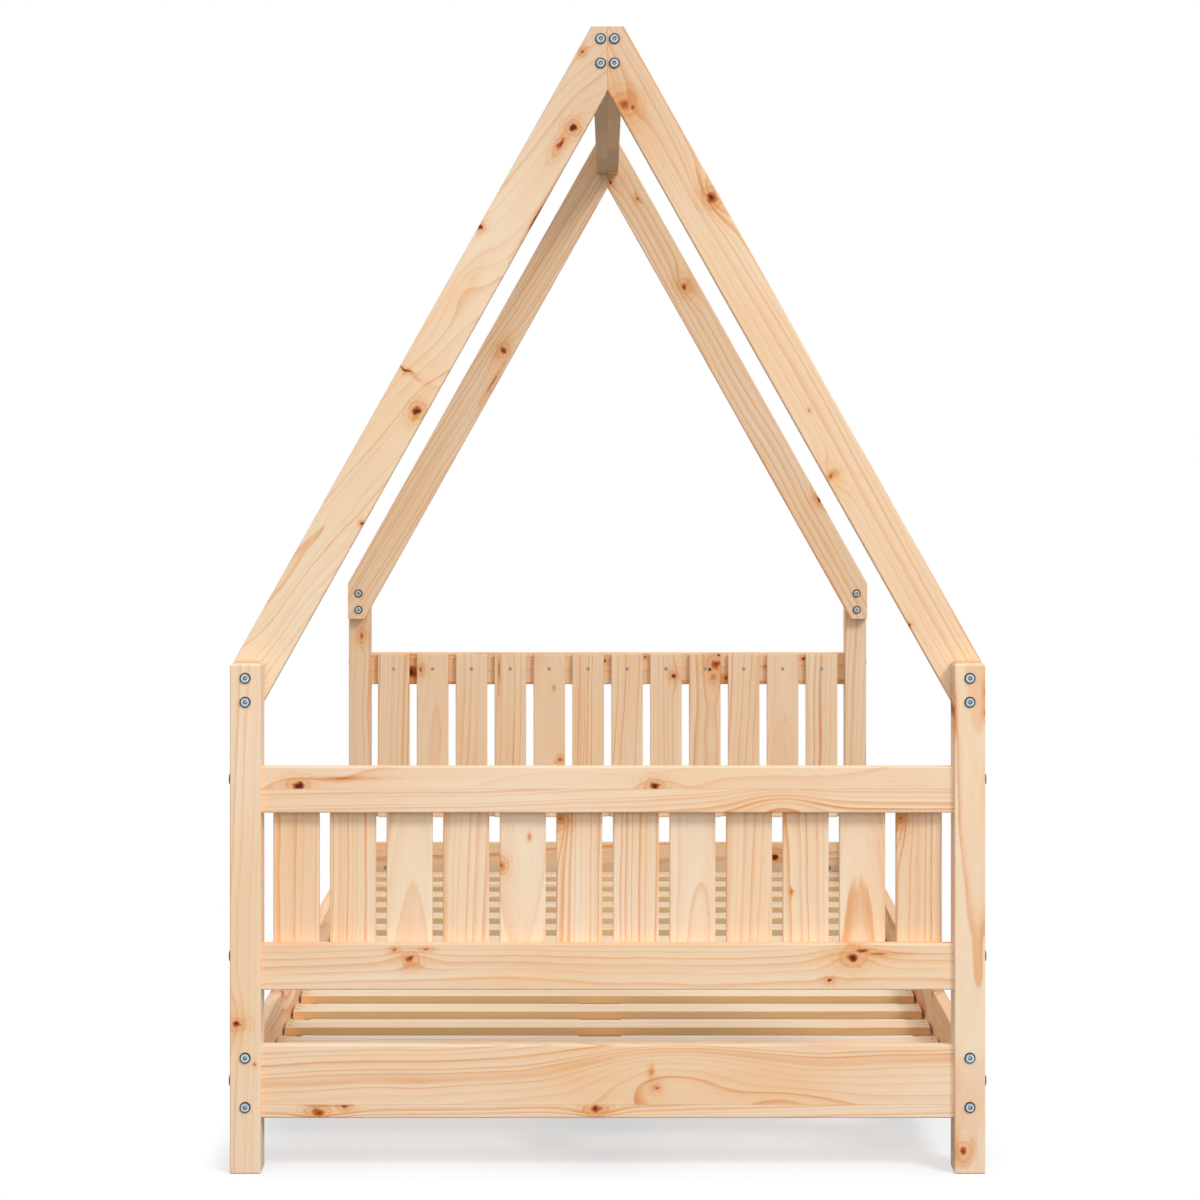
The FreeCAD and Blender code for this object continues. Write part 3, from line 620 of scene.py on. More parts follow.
for name, look in rafters.items():
    across = slopeOf(name)
    if across.x < 0:
        across = -across  # points right, as the knots are counted
    dress(name, Vector((-across.z, 0, across.x)), across, **look)
print("posts and rafters dressed")

# ridge beam: two layers of finger-jointed blocks, side by side

ridge = {
    "block": 560 * mm,
    "stagger": 230 * mm,
    "finger": 5 * mm,
    "fingerPitch": 7 * mm,
    # the blocks' tone differs at random, and the shades are set low and the tint brown as painted shade,
    # standing in for the shaded underside of the beam
    "shades": (0.58, 0.91),
    "tint": (1.0, 0.915, 0.61),
    "glueLine": (0.6 * mm, 0.8),  # half width, how much light is left
    "joint": (0.8 * mm, 0.72),
    "shift": (2.0, 0.06, 0.03),  # how far apart in their logs the blocks may come from
    "layerKey": 17.0,
    "blockSeed": 2.3,
}


def ridgeBlocks(tree, point, seed):
    x, y, z = split(tree, point)
    side = calc(tree, "GREATER_THAN", y, 0.0)
    tooth = calc(tree, "PINGPONG", calc(tree, "ADD", y, z), ridge["fingerPitch"] / 2)
    reach = calc(tree, "MULTIPLY", tooth, ridge["finger"] / (ridge["fingerPitch"] / 2))
    placed = calc(tree, "ADD", calc(tree, "MULTIPLY_ADD", side, ridge["stagger"], x), reach)
    count = calc(tree, "DIVIDE", placed, ridge["block"])
    key = calc(tree, "MULTIPLY_ADD", side, ridge["layerKey"], calc(tree, "FLOOR", count))
    luck = put(tree, "ShaderNodeTexWhiteNoise", noise_dimensions="1D")
    feed(tree, luck.inputs["W"], key)
    moved = vectorCalc(tree, "MULTIPLY", centred(tree, luck.outputs["Color"]), ridge["shift"])
    fromJoint = calc(tree, "MULTIPLY", calc(tree, "PINGPONG", count, 0.5), ridge["block"])
    width, dark = ridge["joint"]
    joint = rangeMap(tree, fromJoint, 0.0, width, dark, 1.0)
    width, dark = ridge["glueLine"]
    joint = calc(tree, "MULTIPLY", joint, rangeMap(tree, calc(tree, "ABSOLUTE", y), 0.0, width, dark, 1.0))
    shade = rangeMap(tree, luck.outputs["Value"], 0, 1, *ridge["shades"], smooth=False)
    shade = calc(tree, "MULTIPLY", shade, joint)
    tone = joined(tree, *(calc(tree, "MULTIPLY", shade, share) for share in ridge["tint"]))
    point = vectorCalc(tree, "ADD", point, moved)
    seedValue = calc(tree, "MULTIPLY_ADD", key, ridge["blockSeed"], seed * seedStep["noise"])
    return point, seedValue, tone


ridgeLook = {"cut": "rift", "seed": 21, "contrast": 0.9, "warmth": 0.55}
dress("ridge_beam", north, east, pieces=ridgeBlocks, **ridgeLook)
print("ridge beam dressed")

# rails of the two end panels, side rails

rails = {
    "foot_top_rail": {"cut": "broad", "seed": 31, "contrast": 0.45, "warmth": 0.26, "knots": [
        knot(-403, 5.0, 5.4, 1.4, 0.7), knot(61.6, 5.0, 5.0, 1.3, 0.8), knot(-345, 15, 1.2, 20.0, 0.0, 0.1)],
        "glued": (1.0, {"cut": "rift", "contrast": 1.0, "ring": 5.5, "side": -1,
                        "swells": [(224, -20, 10, 0.9)]})},
    "foot_mid_rail": {"cut": "rift", "seed": 32, "contrast": 0.95, "warmth": 0.34, "ring": 8.0, "side": -1,
                      "knots": [
        knot(-255, 10, 5.2, 1.1, 0.4), knot(-275, 22, 2.4, 1.6, 0.1, 0.4), knot(-236, 23, 1.6, 3.4, 0.1, 0.3),
        knot(317, 13, 7.6, 1.1, 0.8), knot(330, 21, 2.4, 4.0, 0.5, 0.2), knot(350, 17, 1.6, 9.0, 0.1, 0.2),
        knot(290, -17, 2.4, 1.6, 0.6)]},
    "foot_end_rail": {"cut": "rift", "seed": 33, "contrast": 0.88, "warmth": 0.28, "ring": 8.5, "side": -1,
                      "wander": 10.0, "knots": [
                          knot(56, 13, 4.0, 0.5, -0.1, 0.2), knot(62, -8, 3.2, 1.4, -0.1, 0.2)],
                      "swells": [(80, 8, 19, 1.1), (230, -26, 13, 0.6)],
                      "glued": (-30.0, {"cut": "fine", "contrast": 0.8, "knots": [
                          knot(-377.5, -40.0, 5.4, 1.6, 0.5), knot(-338.5, -31.0, 3.6, 1.6, 0.3),
                          knot(-15.1, -36.0, 5.4, 1.4, 0.6)]})},
    "head_top_rail": {"cut": "rift", "seed": 34, "warmth": 0.45, "tone": headPaintedShade, "knots": [
        knot(-376, -8, 13.0, 1.0, 0.7, 0.6), knot(226, -17, 5.0), knot(-5, 15, 4.0), knot(70, 22, 2.5),
        knot(375, 19, 3.0), knot(300, 3, 2.0)]},
    "head_mid_rail": {"cut": "flat", "seed": 35, "warmth": 0.45, "tone": headPaintedShade},
    # painted shade: the head end rail is made darker still, standing in for the shadow of the slats falling
    # on it
    "head_end_rail": {"cut": "flat", "seed": 36, "warmth": 0.40, "tone": 0.87, "knots": [
        knot(318, 22, 8.0, 1.1, 1.0)]},
}
for name, look in rails.items():
    dress(name, east, up, **look)

sideRails = {
    "left_side_rail": {"cut": "flat", "seed": 41, "warmth": 0.27, "pale": 0.3, "tone": 1.02, "knots": [
        knot(-619, 44, 6.0), knot(-51, 38, 6.0, 1.2, 0.9), knot(430, 20, 6.5)]},
    "right_side_rail": {"cut": "flat", "seed": 42, "warmth": 0.64, "tone": 0.90, "knots": [
        knot(-619, 44, 6.0), knot(-125, 42, 5.0, 1.2, 0.9), knot(-8, 27, 5.0, 1.2, 0.9),
        knot(640, -20, 4.5)]},
}
for name, look in sideRails.items():
    dress(name, north, up, **look)

# pickets, from left to right

picketRows = {
    "foot": [
        {"cut": "rift", "contrast": 0.80, "warmth": 0.32, "ring": 11.0, "tone": 0.98},
        {"cut": "fine", "contrast": 0.65, "warmth": 0.32, "ring": 5.0},
        {"cut": "flame", "contrast": 0.75, "warmth": 0.14, "pale": 0.3, "phase": -0.44},
        {"cut": "rift", "contrast": 0.56, "warmth": 0.26},
        {"cut": "flame", "contrast": 0.65, "warmth": 0.10, "pale": 0.3, "turn": -1, "knots": [
            knot(51, 9, 1.5, 1.8, -0.2), knot(15, -27, 4.6, 1.3, -0.1)]},
        {"cut": "fine", "contrast": 0.68, "warmth": 0.28, "ring": 7.0, "knots": [
            knot(75, -26, 6.5, 1.2, -0.2)]},
        {"cut": "fine", "contrast": 0.75, "warmth": 0.28, "ring": 8.0},
        {"cut": "flat", "contrast": 0.80, "warmth": 0.24, "pale": 0.1, "wander": 12.0},
        {"cut": "rift", "contrast": 0.70, "warmth": 0.22, "pale": 0.1},
        {"cut": "rift", "contrast": 0.68, "warmth": 0.36, "knots": [knot(-20, -18, 1.3)]},
        {"cut": "flame", "contrast": 0.65, "warmth": 0.16, "pale": 0.2, "phase": 0.5},
        {"cut": "rift", "contrast": 0.90, "warmth": 0.32, "ring": 8.0, "tone": 0.95, "knots": [
            knot(75, -26, 6.5, 1.2, -0.2)]}],
    "head": [
        {"cut": "rift", "contrast": 0.65, "warmth": 0.32, "ring": 7.0},
        {"cut": "flat", "contrast": 0.55, "warmth": 0.28, "knots": [knot(125, -22, 3.6, 1.8, 0.1)]},
        {"cut": "rift", "contrast": 0.50, "warmth": 0.28},
        {"cut": "rift", "contrast": 0.75, "warmth": 0.32, "knots": [knot(127, -21, 1.4, 18, 0.1, 0.3)]},
        {"cut": "broad", "contrast": 0.55, "warmth": 0.20, "pale": 0.2, "knots": [
            knot(-45, 21, 3.4, 1.1, 0.3), knot(-49, 14, 2.0, 0.6, 0.2, 0.3), knot(90, 9, 1.4, 2.0, -0.2)]},
        {"cut": "fine", "contrast": 0.65, "warmth": 0.20},
        {"cut": "rift", "contrast": 0.60, "warmth": 0.24},
        {"cut": "rift", "contrast": 0.68, "warmth": 0.28, "knots": [knot(115, 16, 4.6, 1.2, 0.9)]},
        {"cut": "flat", "contrast": 0.65, "warmth": 0.26, "knots": [
            knot(135, 20, 9.0, 1.1, 0.35, 0.5), knot(155, 26, 3.6, 1.0, 0.8, 0.2),
            knot(127, 10, 3.6, 1.0, 0.9, 0.2), knot(111, 17, 5.0, 1.3, -0.3, 0.2)]},
        {"cut": "rift", "contrast": 0.68, "warmth": 0.28},
        {"cut": "flat", "contrast": 0.55, "warmth": 0.22, "swells": [(-34, -4, 9, 1.0)]},
        {"cut": "rift", "contrast": 0.70, "warmth": 0.30}],
}
picketSeed = {"base": 50, "perRow": 20}
for row, (end, looks) in enumerate(picketRows.items()):
    for number, look in enumerate(looks, 1):
        look = dict({"turn": 1, "tone": headPaintedShade if end == "head" else 1.0}, **look)
        seed = picketSeed["base"] + number + picketSeed["perRow"] * row
        dress("%s_picket_%02d" % (end, number), up, east, seed=seed, **look)
print("rails and pickets dressed")

# the bed base

slatRow = {"pitch": 127.7 * mm, "shades": (0.95, 1.02), "shift": 0.71, "luckStep": 1.3, "slatSeed": 1.9}


def slatPieces(tree, point, seed):  # each slat of a section has a grain and a shade of its own
    slat = calc(tree, "ROUND", calc(tree, "DIVIDE", split(tree, point)[1], slatRow["pitch"]))
    moved = joined(tree, calc(tree, "MULTIPLY", slat, slatRow["shift"]),
                   calc(tree, "MULTIPLY", slat, -slatRow["pitch"]))
    luck = put(tree, "ShaderNodeTexWhiteNoise", noise_dimensions="1D")
    feed(tree, luck.inputs["W"], calc(tree, "ADD", slat, seed * slatRow["luckStep"]))
    shade = rangeMap(tree, luck.outputs["Value"], 0, 1, *slatRow["shades"], smooth=False)
    point = vectorCalc(tree, "ADD", point, moved)
    seedValue = calc(tree, "MULTIPLY_ADD", slat, slatRow["slatSeed"], seed * seedStep["noise"])
    return point, seedValue, joined(tree, shade, shade, shade)


slatLook = {"cut": "rift", "contrast": 0.7, "warmth": 0.04, "pale": 0.8, "edge": 0.85}
slatSections = {
    "slats_section_1": {"seed": 91, "tone": 0.94, "tint": (1.0, 0.995, 0.995)},
    "slats_section_2": {"seed": 92, "tone": 0.94, "tint": (0.98, 0.99, 1.0)},
    "slats_section_3": {"seed": 93, "tone": 0.96, "tint": (0.96, 0.99, 1.02)},
}
for name, look in slatSections.items():
    dress(name, east, north, pieces=slatPieces, **slatLook, **look)

baseBoards = {  # the way the grain runs, the way across it, the look
    "left_slat_cleat": (north, east, {"seed": 95, "contrast": 0.6, "pale": 0.5}),
    "right_slat_cleat": (north, east, {"seed": 96, "contrast": 0.6, "pale": 0.5}),
    # painted shade: the centre beam is made very dark, standing in for the shadow under the slats
    "centre_beam": (north, east, {"seed": 97, "contrast": 0.6, "tone": 0.45}),
    "centre_leg": (up, east, {"seed": 98, "contrast": 0.6, "pale": 0.5}),
    "centre_beam_seats": (east, up, {"seed": 99, "contrast": 0.6, "pale": 0.5}),
    "wooden_dowels": (east, up, {"cut": "fine", "seed": 101, "contrast": 0.4, "warmth": 0.8}),
}
for name, (grain, across, look) in baseBoards.items():
    dress(name, grain, across, **look)
print("bed base dressed")

# zinc plated fasteners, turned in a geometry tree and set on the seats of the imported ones

zinc = {
    "bright": onScreen(204, 214, 221),
    "cloud": onScreen(176, 190, 200),
    # painted shade: this dark zinc stands in for the shadow in the recess and the dark room mirrored on the
    # rim
    "shade": onScreen(74, 84, 92),
    "dull": onScreen(176, 182, 190),
    "roughness": (0.26, 0.42),
    "clouds": ((260.0, 260.0, 260.0), 3.0, 0.35, 0.65),  # scale, detail, noise where they begin and are full
    "scratches": ((900.0, 900.0, 2400.0), 2.0, 0.3, 0.7),
    "bump": (0.15, 0.05 * mm),
    "seeds": (1.7, 5.2),
}


def zincMaterial(name, light, dark):
    material = bpy.data.materials.new(name)
    material.use_nodes = True
    tree = material.node_tree
    tree.nodes.clear()
    coordinates = put(tree, "ShaderNodeTexCoord")
    scale, detail, *clouded = zinc["clouds"]
    cloudSeed, scratchSeed = zinc["seeds"]
    cloud = noise(tree, coordinates.outputs["Object"], cloudSeed, scale, detail)
    scale, detail, *scratched = zinc["scratches"]
    scratch = noise(tree, coordinates.outputs["Object"], scratchSeed, scale, detail)
    surface = put(tree, "ShaderNodeBsdfPrincipled")
    surface.inputs["Metallic"].default_value = 1.0
    feed(tree, surface.inputs["Base Color"], mixColour(tree, rangeMap(tree, cloud, *clouded), light, dark))
    feed(tree, surface.inputs["Roughness"], rangeMap(tree, scratch, *scratched, *zinc["roughness"]))
    bump = put(tree, "ShaderNodeBump")
    bump.inputs["Strength"].default_value, bump.inputs["Distance"].default_value = zinc["bump"]
    feed(tree, bump.inputs["Height"], cloud)
    feed(tree, surface.inputs["Normal"], bump.outputs[0])
    output = put(tree, "ShaderNodeOutputMaterial")
    feed(tree, output.inputs["Surface"], surface.outputs[0])
    return material


brightZinc = zincMaterial("zinc.bright", zinc["bright"], zinc["cloud"])
paintedShadeZinc = zincMaterial("zinc.paintedShade", zinc["shade"], zinc["shade"])
dullZinc = zincMaterial("zinc.dull", zinc["dull"], zinc["dull"])

headInputs = ["Head Radius", "Crown Radius", "Head Height", "Rim Height", "Crown Bulge", "Recess Radius",
              "Recess Depth", "Cone Depth", "Shank Radius", "Shank Length", "Tip Radius", "Tip Length",
              "Bore Radius", "Bore Floor"]


turning = {
    "spot": 0.48,  # the bright middle, as a share of the recess
    "dome": (0.25, 0.5, 0.75),  # where the arc from the crown to the rim has its points
    "cross": 0.62,  # how far a cross cuts in
    "merge": 0.01 * mm,  # how near corners are made one
}


def makeFastenerTree():
    tree = bpy.data.node_groups.new("turnedFastener", "GeometryNodeTree")
    tree.is_modifier = True
    tree.interface.new_socket("Seats", in_out="INPUT", socket_type="NodeSocketGeometry")
    for label in headInputs:
        tree.interface.new_socket(label, in_out="INPUT", socket_type="NodeSocketFloat")
    tree.interface.new_socket("Cross Recess", in_out="INPUT", socket_type="NodeSocketBool")
    tree.interface.new_socket("Sides", in_out="INPUT", socket_type="NodeSocketInt")
    tree.interface.new_socket("Seed", in_out="INPUT", socket_type="NodeSocketInt")
    tree.interface.new_socket("Face Finish", in_out="INPUT", socket_type="NodeSocketMaterial")
    tree.interface.new_socket("Painted Shade Metal", in_out="INPUT", socket_type="NodeSocketMaterial")
    tree.interface.new_socket("Fasteners", in_out="OUTPUT", socket_type="NodeSocketGeometry")
    given = tree.nodes.new("NodeGroupInput").outputs
    top, depth, length = given["Head Height"], given["Recess Depth"], given["Shank Length"]
    recessFloor = calc(tree, "SUBTRACT", top, depth)
    seat = calc(tree, "MULTIPLY", given["Cone Depth"], -1.0)
    shankEnd = calc(tree, "SUBTRACT", given["Tip Length"], length)
    foot = calc(tree, "MULTIPLY", length, -1.0)
    boreFloor = calc(tree, "MULTIPLY", given["Bore Floor"], -1.0)
    spot = calc(tree, "MULTIPLY", given["Recess Radius"], turning["spot"])
    profile = [(0.0, recessFloor), (spot, recessFloor), (given["Recess Radius"], recessFloor),
               (given["Recess Radius"], top), (given["Crown Radius"], top)]
    spotRow, recessRow, crownRow = 1, 3, 4  # the rows that end the bright middle, the recess and the crown
    for share in turning["dome"]:
        bulge = calc(tree, "MULTIPLY", given["Crown Bulge"], 4 * share * (1 - share))
        outwards = mixValue(tree, share, given["Crown Radius"], given["Head Radius"])
        outwards = calc(tree, "ADD", outwards, bulge)
        profile.append((outwards, calc(tree, "ADD", mixValue(tree, share, top, given["Rim Height"]), bulge)))
    rimRow = len(profile)
    profile += [(given["Head Radius"], given["Rim Height"]), (given["Head Radius"], 0.0),
                (given["Shank Radius"], seat), (given["Shank Radius"], shankEnd), (given["Tip Radius"], foot),
                (given["Bore Radius"], foot), (given["Bore Radius"], boreFloor), (0.0, boreFloor)]
    rows = len(profile)
    grid = put(tree, "GeometryNodeMeshGrid")
    for socket, value in zip(grid.inputs, (1.0, 1.0, rows, calc(tree, "ADD", given["Sides"], 1.0))):
        feed(tree, socket, value)
    place = tree.nodes.new("GeometryNodeInputPosition").outputs[0]
    x, y = split(tree, place)[:2]
    rowPlace = calc(tree, "MULTIPLY", calc(tree, "ADD", x, 0.5), rows - 1.0)
    row = calc(tree, "ROUND", rowPlace)
    turn = calc(tree, "MULTIPLY", calc(tree, "ADD", y, 0.5), math.tau)

    def pick(values):
        chosen = put(tree, "GeometryNodeIndexSwitch", data_type="FLOAT")
        while len(chosen.index_switch_items) < rows:
            chosen.index_switch_items.new()
        feed(tree, chosen.inputs[0], row)
        for socket, value in zip(chosen.inputs[1:], values):
            feed(tree, socket, value)
        return chosen.outputs[0]

    # painted shade: the recess, the dome and the rim are marked for the darker metal, which stands in for the
    # shadow in the recess and the dark room mirrored on the dome and rim
    between = calc(tree, "FLOOR", rowPlace)

    def fromRow(first, last):
        return calc(tree, "COMPARE", between, (first + last) / 2, (last - first) / 2 + 0.1)
    inRecess = fromRow(spotRow, recessRow - 1)
    onRim = fromRow(crownRow, rimRow + 1)
    marked = put(tree, "GeometryNodeStoreNamedAttribute", data_type="BOOLEAN", domain="FACE")
    feed(tree, marked.inputs["Geometry"], grid.outputs[0])
    marked.inputs["Name"].default_value = "paintedShadeFaces"
    feed(tree, marked.inputs["Value"], calc(tree, "MAXIMUM", inRecess, onRim))
    # a hexagon's or a cross's outline in the recess
    sixth = calc(tree, "SUBTRACT", calc(tree, "MODULO", turn, math.tau / 6), math.tau / 12)
    hexagon = calc(tree, "DIVIDE", 1.0, calc(tree, "COSINE", sixth))
    wave = calc(tree, "SINE", calc(tree, "MULTIPLY", turn, 2.0))
    cross = calc(tree, "MULTIPLY_ADD", squared(tree, wave), -turning["cross"], 1.0)
    outline = mixValue(tree, given["Cross Recess"], hexagon, cross)
    isRecess = calc(tree, "MULTIPLY", calc(tree, "LESS_THAN", row, recessRow + 0.5),
                    calc(tree, "GREATER_THAN", row, spotRow - 0.5))
    radius = calc(tree, "MULTIPLY", pick([r for r, h in profile]), mixValue(tree, isRecess, 1.0, outline))
    turned = put(tree, "GeometryNodeSetPosition")
    feed(tree, turned.inputs["Geometry"], marked.outputs[0])
    feed(tree, turned.inputs["Position"], joined(
        tree, calc(tree, "MULTIPLY", radius, calc(tree, "COSINE", turn)),
        calc(tree, "MULTIPLY", radius, calc(tree, "SINE", turn)), pick([h for r, h in profile])))
    closed = put(tree, "GeometryNodeMergeByDistance")
    feed(tree, closed.inputs["Geometry"], turned.outputs[0])
    closed.inputs["Distance"].default_value = turning["merge"]
    aim = put(tree, "GeometryNodeInputNamedAttribute", data_type="FLOAT_VECTOR")
    aim.inputs["Name"].default_value = "aim"
    aligned = put(tree, "FunctionNodeAlignRotationToVector", axis="Z")
    feed(tree, aligned.inputs["Vector"], aim.outputs[0])
    spread = put(tree, "GeometryNodeInstanceOnPoints")
    feed(tree, spread.inputs["Points"], given["Seats"])
    feed(tree, spread.inputs["Instance"], closed.outputs[0])
    feed(tree, spread.inputs["Rotation"], aligned.outputs[0])
    chance = put(tree, "FunctionNodeRandomValue", data_type="FLOAT")
    chance.inputs[3].default_value = math.tau
    feed(tree, chance.inputs["Seed"], given["Seed"])
    spun = put(tree, "GeometryNodeRotateInstances")
    feed(tree, spun.inputs["Instances"], spread.outputs[0])
    feed(tree, spun.inputs["Rotation"], joined(tree, 0.0, 0.0, chance.outputs[1]))
    solid = put(tree, "GeometryNodeRealizeInstances")
    feed(tree, solid.inputs["Geometry"], spun.outputs[0])
    bright = put(tree, "GeometryNodeSetMaterial")
    feed(tree, bright.inputs["Geometry"], solid.outputs[0])
    feed(tree, bright.inputs["Material"], given["Face Finish"])
    paintedShadeFaces = put(tree, "GeometryNodeInputNamedAttribute", data_type="BOOLEAN")
    paintedShadeFaces.inputs["Name"].default_value = "paintedShadeFaces"
    dark = put(tree, "GeometryNodeSetMaterial")
    feed(tree, dark.inputs["Geometry"], bright.outputs[0])
    feed(tree, dark.inputs["Selection"], paintedShadeFaces.outputs[0])
    feed(tree, dark.inputs["Material"], given["Painted Shade Metal"])
    result = tree.nodes.new("NodeGroupOutput")
    feed(tree, result.inputs[0], dark.outputs[0])
    return tree


same = {"corner": 0.001 * mm, "rim": 0.02 * mm}  # how near counts as the same place


def middleOf(points):  # exact sums, so that the order of the corners makes no difference
    return tuple(round(math.fsum(point[i] for point in points) / len(points), 4) for i in range(3))


def solidsIn(node):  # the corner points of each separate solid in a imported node
    copy = bmesh.new()
    copy.from_mesh(nodes[node].data)
    bmesh.ops.remove_doubles(copy, verts=copy.verts, dist=same["corner"])
    left = set(copy.verts)
    solids = []
    while left:
        reached, found = [left.pop()], []
        while reached:
            corner = reached.pop()
            found.append(corner.co.copy())
            for line in corner.link_edges:
                other = line.other_vert(corner)
                if other in left:
                    left.remove(other)
                    reached.append(other)
        solids.append(found)
    copy.free()
    return sorted(solids, key=middleOf)


def seatsOf(node):  # where each fastener's head sits, which way the head points and the whole length
    seats = []
    for points in solidsIn(node):
        low = Vector([min(point[i] for point in points) for i in range(3)])
        high = Vector([max(point[i] for point in points) for i in range(3)])
        centre, size = (low + high) / 2, high - low
        axis = max(range(3), key=lambda i: size[i])

        def fromAxis(point):
            return math.hypot(*(point[i] - centre[i] for i in range(3) if i != axis))
        widest = max(fromAxis(point) for point in points)
        rim = [point[axis] for point in points if fromAxis(point) > widest - same["rim"]]
        aim = Vector((0, 0, 0))
        aim[axis] = 1 if sum(rim) / len(rim) > centre[axis] else -1
        centre[axis] = min(rim) if aim[axis] > 0 else max(rim)
        seats.append((centre, aim, size[axis]))
    return seats


# sizes in mm
socketHead = {"Head Radius": 7.25, "Crown Radius": 5.4, "Head Height": 2.6, "Rim Height": 0.9,
              "Crown Bulge": 0.35, "Recess Radius": 2.5, "Recess Depth": 2.0, "Shank Radius": 3.0,
              "Tip Radius": 2.4, "Tip Length": 0.6}
nutHead = dict(socketHead, **{"Head Radius": 7.75, "Shank Radius": 4.0, "Tip Radius": 4.0, "Tip Length": 0.0,
                              "Bore Radius": 3.1, "Bore Floor": 1.0})


screw = {"crown": 0.96, "recess": 0.5, "Tip Radius": 0.3, "Tip Length": 3.0}  # crown and recess to the head


def countersunk(head, shank):
    return {"Head Radius": head, "Crown Radius": head * screw["crown"],
            "Recess Radius": head * screw["recess"], "Recess Depth": head - shank, "Cone Depth": head - shank,
            "Shank Radius": shank, "Tip Radius": screw["Tip Radius"], "Tip Length": screw["Tip Length"]}


fasteners = {
    "rafter_post_bolts": socketHead, "ridge_bolts": socketHead, "side_rail_bolts": socketHead,
    "end_rail_bolts": socketHead, "rafter_sleeve_nuts": nutHead, "picket_screws": countersunk(3.4, 1.75),
    "slat_screws": countersunk(2.8, 1.5), "cleat_and_beam_screws": countersunk(4.0, 2.0),
}
headSides = {"hexagon": 24, "cross": 12}
sharpFrom = math.radians(30)
fastenerTree = makeFastenerTree()


def setFasteners(node, sizes):
    seats = seatsOf(node)
    mesh = bpy.data.meshes.new(node + ".seats")
    mesh.from_pydata([seat for seat, aim, length in seats], [], [])
    aims = mesh.attributes.new("aim", "FLOAT_VECTOR", "POINT")
    for value, (seat, aim, length) in zip(aims.data, seats):
        value.vector = aim
    holder = bpy.data.objects.new(node + ".seats", mesh)
    bpy.context.scene.collection.objects.link(holder)
    modifier = holder.modifiers.new("turned", "NODES")
    modifier.node_group = fastenerTree
    values = {name: value * mm for name, value in sizes.items()}
    values["Shank Length"] = seats[0][2] - values.get("Head Height", 0.0)
    if not sizes.get("Bore Radius"):
        values["Bore Floor"] = values["Shank Length"]
    isCross = "Cone Depth" in sizes
    values.update({"Cross Recess": isCross, "Sides": headSides["cross" if isCross else "hexagon"],
                   "Seed": len(node), "Face Finish": dullZinc if isCross else brightZinc,
                   "Painted Shade Metal": paintedShadeZinc})
    for socket in fastenerTree.interface.items_tree:
        if socket.name in values:
            modifier[socket.identifier] = values[socket.name]
    ready = holder.evaluated_get(bpy.context.evaluated_depsgraph_get())
    made = bpy.data.meshes.new_from_object(ready)
    bpy.data.objects.remove(holder)
    shape = bmesh.new()
    shape.from_mesh(made)
    bmesh.ops.recalc_face_normals(shape, faces=shape.faces)
    shape.to_mesh(made)
    shape.free()
    for polygon in made.polygons:
        polygon.use_smooth = True
    made.set_sharp_from_angle(angle=sharpFrom)
    piece = bpy.data.objects.new(node + "_turned", made)
    bpy.context.scene.collection.objects.link(piece)
    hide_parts(node)
    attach(piece, "root")


for node, sizes in fasteners.items():
    setFasteners(node, sizes)
nodes["barrel_nuts"].data.materials.clear()
nodes["barrel_nuts"].data.materials.append(dullZinc)
print("fasteners turned and set")

# camera, light and floor

camera = {"place": (0.0, -5.394, 0.9947), "lens": 100.95, "sensor": 36.0, "shift": (-0.0063, -0.1608),
          "farthest": 100.0}
eye = bpy.data.objects.new("photoCamera", bpy.data.cameras.new("photoCamera"))
eye.location = camera["place"]
eye.rotation_euler = (math.radians(90), 0, 0)
eye.data.lens = camera["lens"]
eye.data.sensor_width = camera["sensor"]
eye.data.shift_x, eye.data.shift_y = camera["shift"]
eye.data.clip_end = camera["farthest"]
bpy.context.scene.collection.objects.link(eye)
bpy.context.scene.camera = eye

fill = 0.72  # strength of the pale room, for all but what sees it directly
softboxes = {  # place, aim, size, power
    "keySoftbox": ((5.8, -8.1, 8.1), (0, -0.3, 0.5), 3.2, 720),
    "frontSoftbox": ((0, -6.2, 1.5), (0, -1, 0.5), 2.6, 72),
    "backSoftbox": ((-0.9, 6.0, 2.4), (0, 1, 0.5), 1.8, 110),
}


def softbox(name, place, aim, size, power):
    lamp = bpy.data.lights.new(name, "AREA")
    lamp.shape = "SQUARE"
    lamp.size = size
    lamp.energy = power
    holder = bpy.data.objects.new(name, lamp)
    holder.location = place
    holder.visible_glossy = False  # the steel mirrors the pale room, not the lamps
    holder.rotation_euler = (Vector(aim) - Vector(place)).to_track_quat("-Z", "Y").to_euler()
    bpy.context.scene.collection.objects.link(holder)


for name, values in softboxes.items():
    softbox(name, *values)


def makeWorld():
    world = bpy.data.worlds.new("paleRoom")
    bpy.context.scene.world = world
    world.use_nodes = True
    tree = world.node_tree
    tree.nodes.clear()
    path = put(tree, "ShaderNodeLightPath")
    seen = calc(tree, "MAXIMUM", path.outputs["Is Camera Ray"], path.outputs["Is Glossy Ray"])
    seen = calc(tree, "MAXIMUM", seen, path.outputs["Is Transmission Ray"])
    background = put(tree, "ShaderNodeBackground")
    background.inputs["Color"].default_value = (1, 1, 1, 1)
    feed(tree, background.inputs["Strength"], rangeMap(tree, seen, 0.0, 1.0, fill, 1.0, smooth=False))
    output = put(tree, "ShaderNodeOutputWorld")
    feed(tree, output.inputs["Surface"], background.outputs[0])


makeWorld()

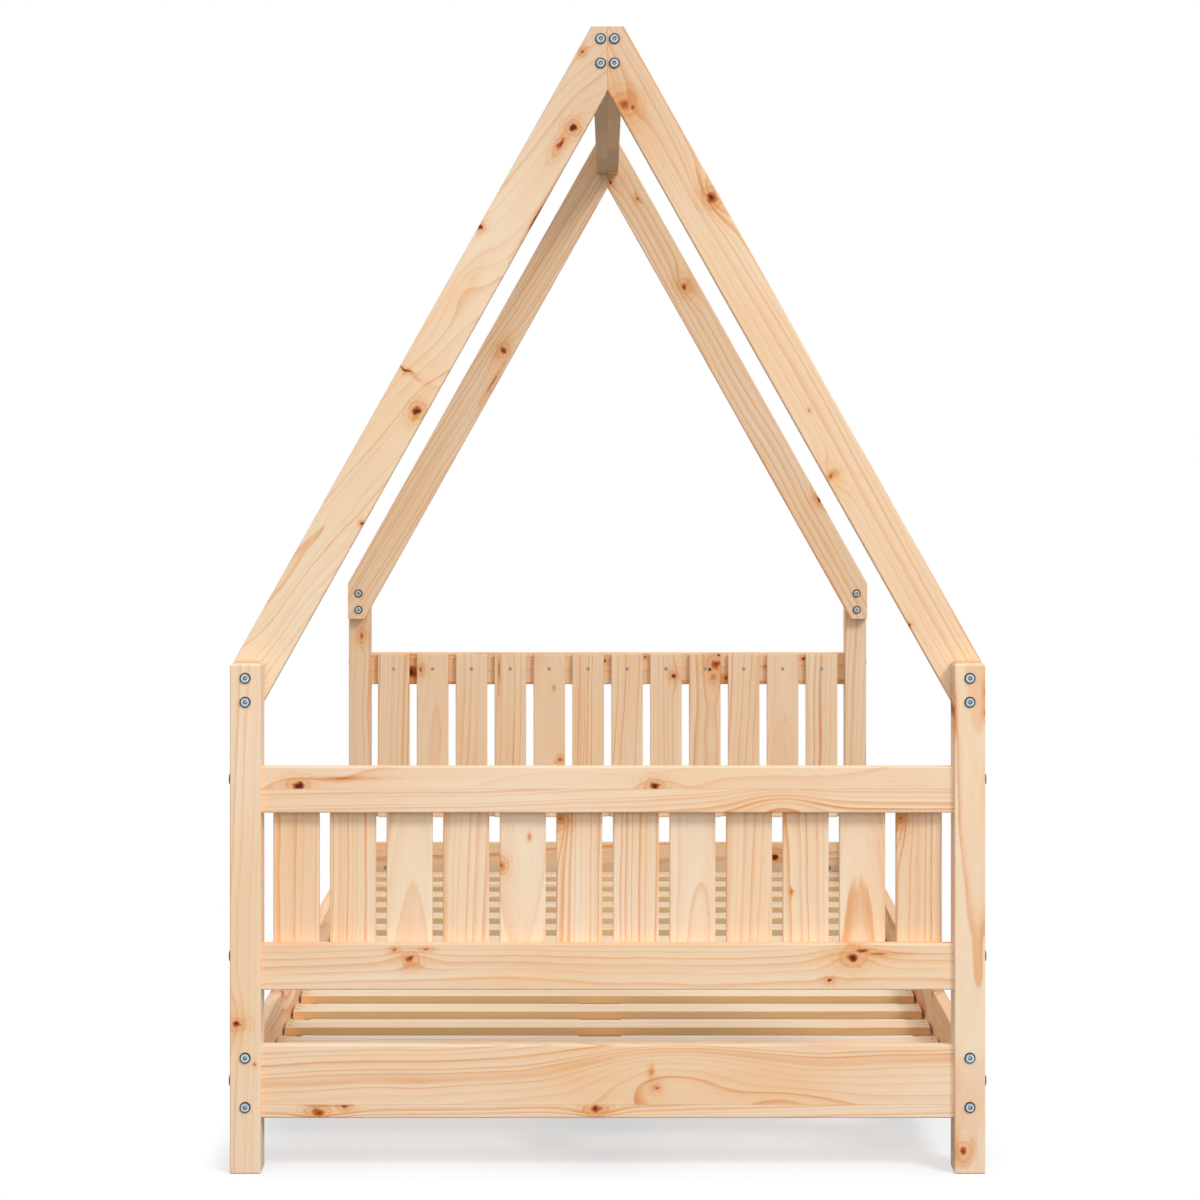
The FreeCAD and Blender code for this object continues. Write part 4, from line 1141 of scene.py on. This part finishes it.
floorLook = {
    "radius": 30.0,
    "segments": 96,
    "seen": (0.955, 0.97, 0.985, 1),
    "bounced": (0.14, 0.14, 0.14, 1),
    "underBed": 0.5,
    "bed": (0.49, 1.03),  # half width and half length of the shadow under the bed
    "fadeOver": 0.05,
}


def makeFloor():
    mesh = bpy.data.meshes.new("studioFloor")
    build = bmesh.new()
    bmesh.ops.create_circle(build, cap_ends=True, segments=floorLook["segments"], radius=floorLook["radius"])
    build.to_mesh(mesh)
    build.free()
    floor = bpy.data.objects.new("studioFloor", mesh)
    bpy.context.scene.collection.objects.link(floor)
    material = bpy.data.materials.new("studioFloor.white")
    material.use_nodes = True
    tree = material.node_tree
    tree.nodes.clear()
    path = put(tree, "ShaderNodeLightPath")
    seen = calc(tree, "MAXIMUM", path.outputs["Is Camera Ray"], path.outputs["Is Glossy Ray"])
    matt = put(tree, "ShaderNodeBsdfDiffuse")
    feed(tree, matt.inputs["Color"], mixColour(tree, path.outputs["Is Camera Ray"],
                                                   floorLook["bounced"], floorLook["seen"]))
    glow = put(tree, "ShaderNodeEmission")
    glow.inputs["Strength"].default_value = 1.0
    # the bed's shadow lies under it and fades out just past its outline
    coordinates = put(tree, "ShaderNodeTexCoord")
    away = vectorCalc(tree, "ABSOLUTE", coordinates.outputs["Object"])
    away = vectorCalc(tree, "SUBTRACT", away, (*floorLook["bed"], 0))
    away = vectorCalc(tree, "MAXIMUM", away, (0, 0, 0))
    away = vectorCalc(tree, "LENGTH", away, output="Value")
    share = rangeMap(tree, away, 0.0, floorLook["fadeOver"], floorLook["underBed"], 1.0)
    blend = put(tree, "ShaderNodeMixShader")
    feed(tree, blend.inputs[0], calc(tree, "MULTIPLY", share, seen))
    feed(tree, blend.inputs[1], matt.outputs[0])
    feed(tree, blend.inputs[2], glow.outputs[0])
    output = put(tree, "ShaderNodeOutputMaterial")
    feed(tree, output.inputs["Surface"], blend.outputs[0])
    mesh.materials.append(material)
    floor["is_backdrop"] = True


makeFloor()
bpy.context.scene.view_settings.view_transform = "Standard"
print("camera, light and floor ready")

low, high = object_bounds()
sizes = {"cad": [list(cadLow), list(cadHigh)], "visual": [list(low), list(high)]}
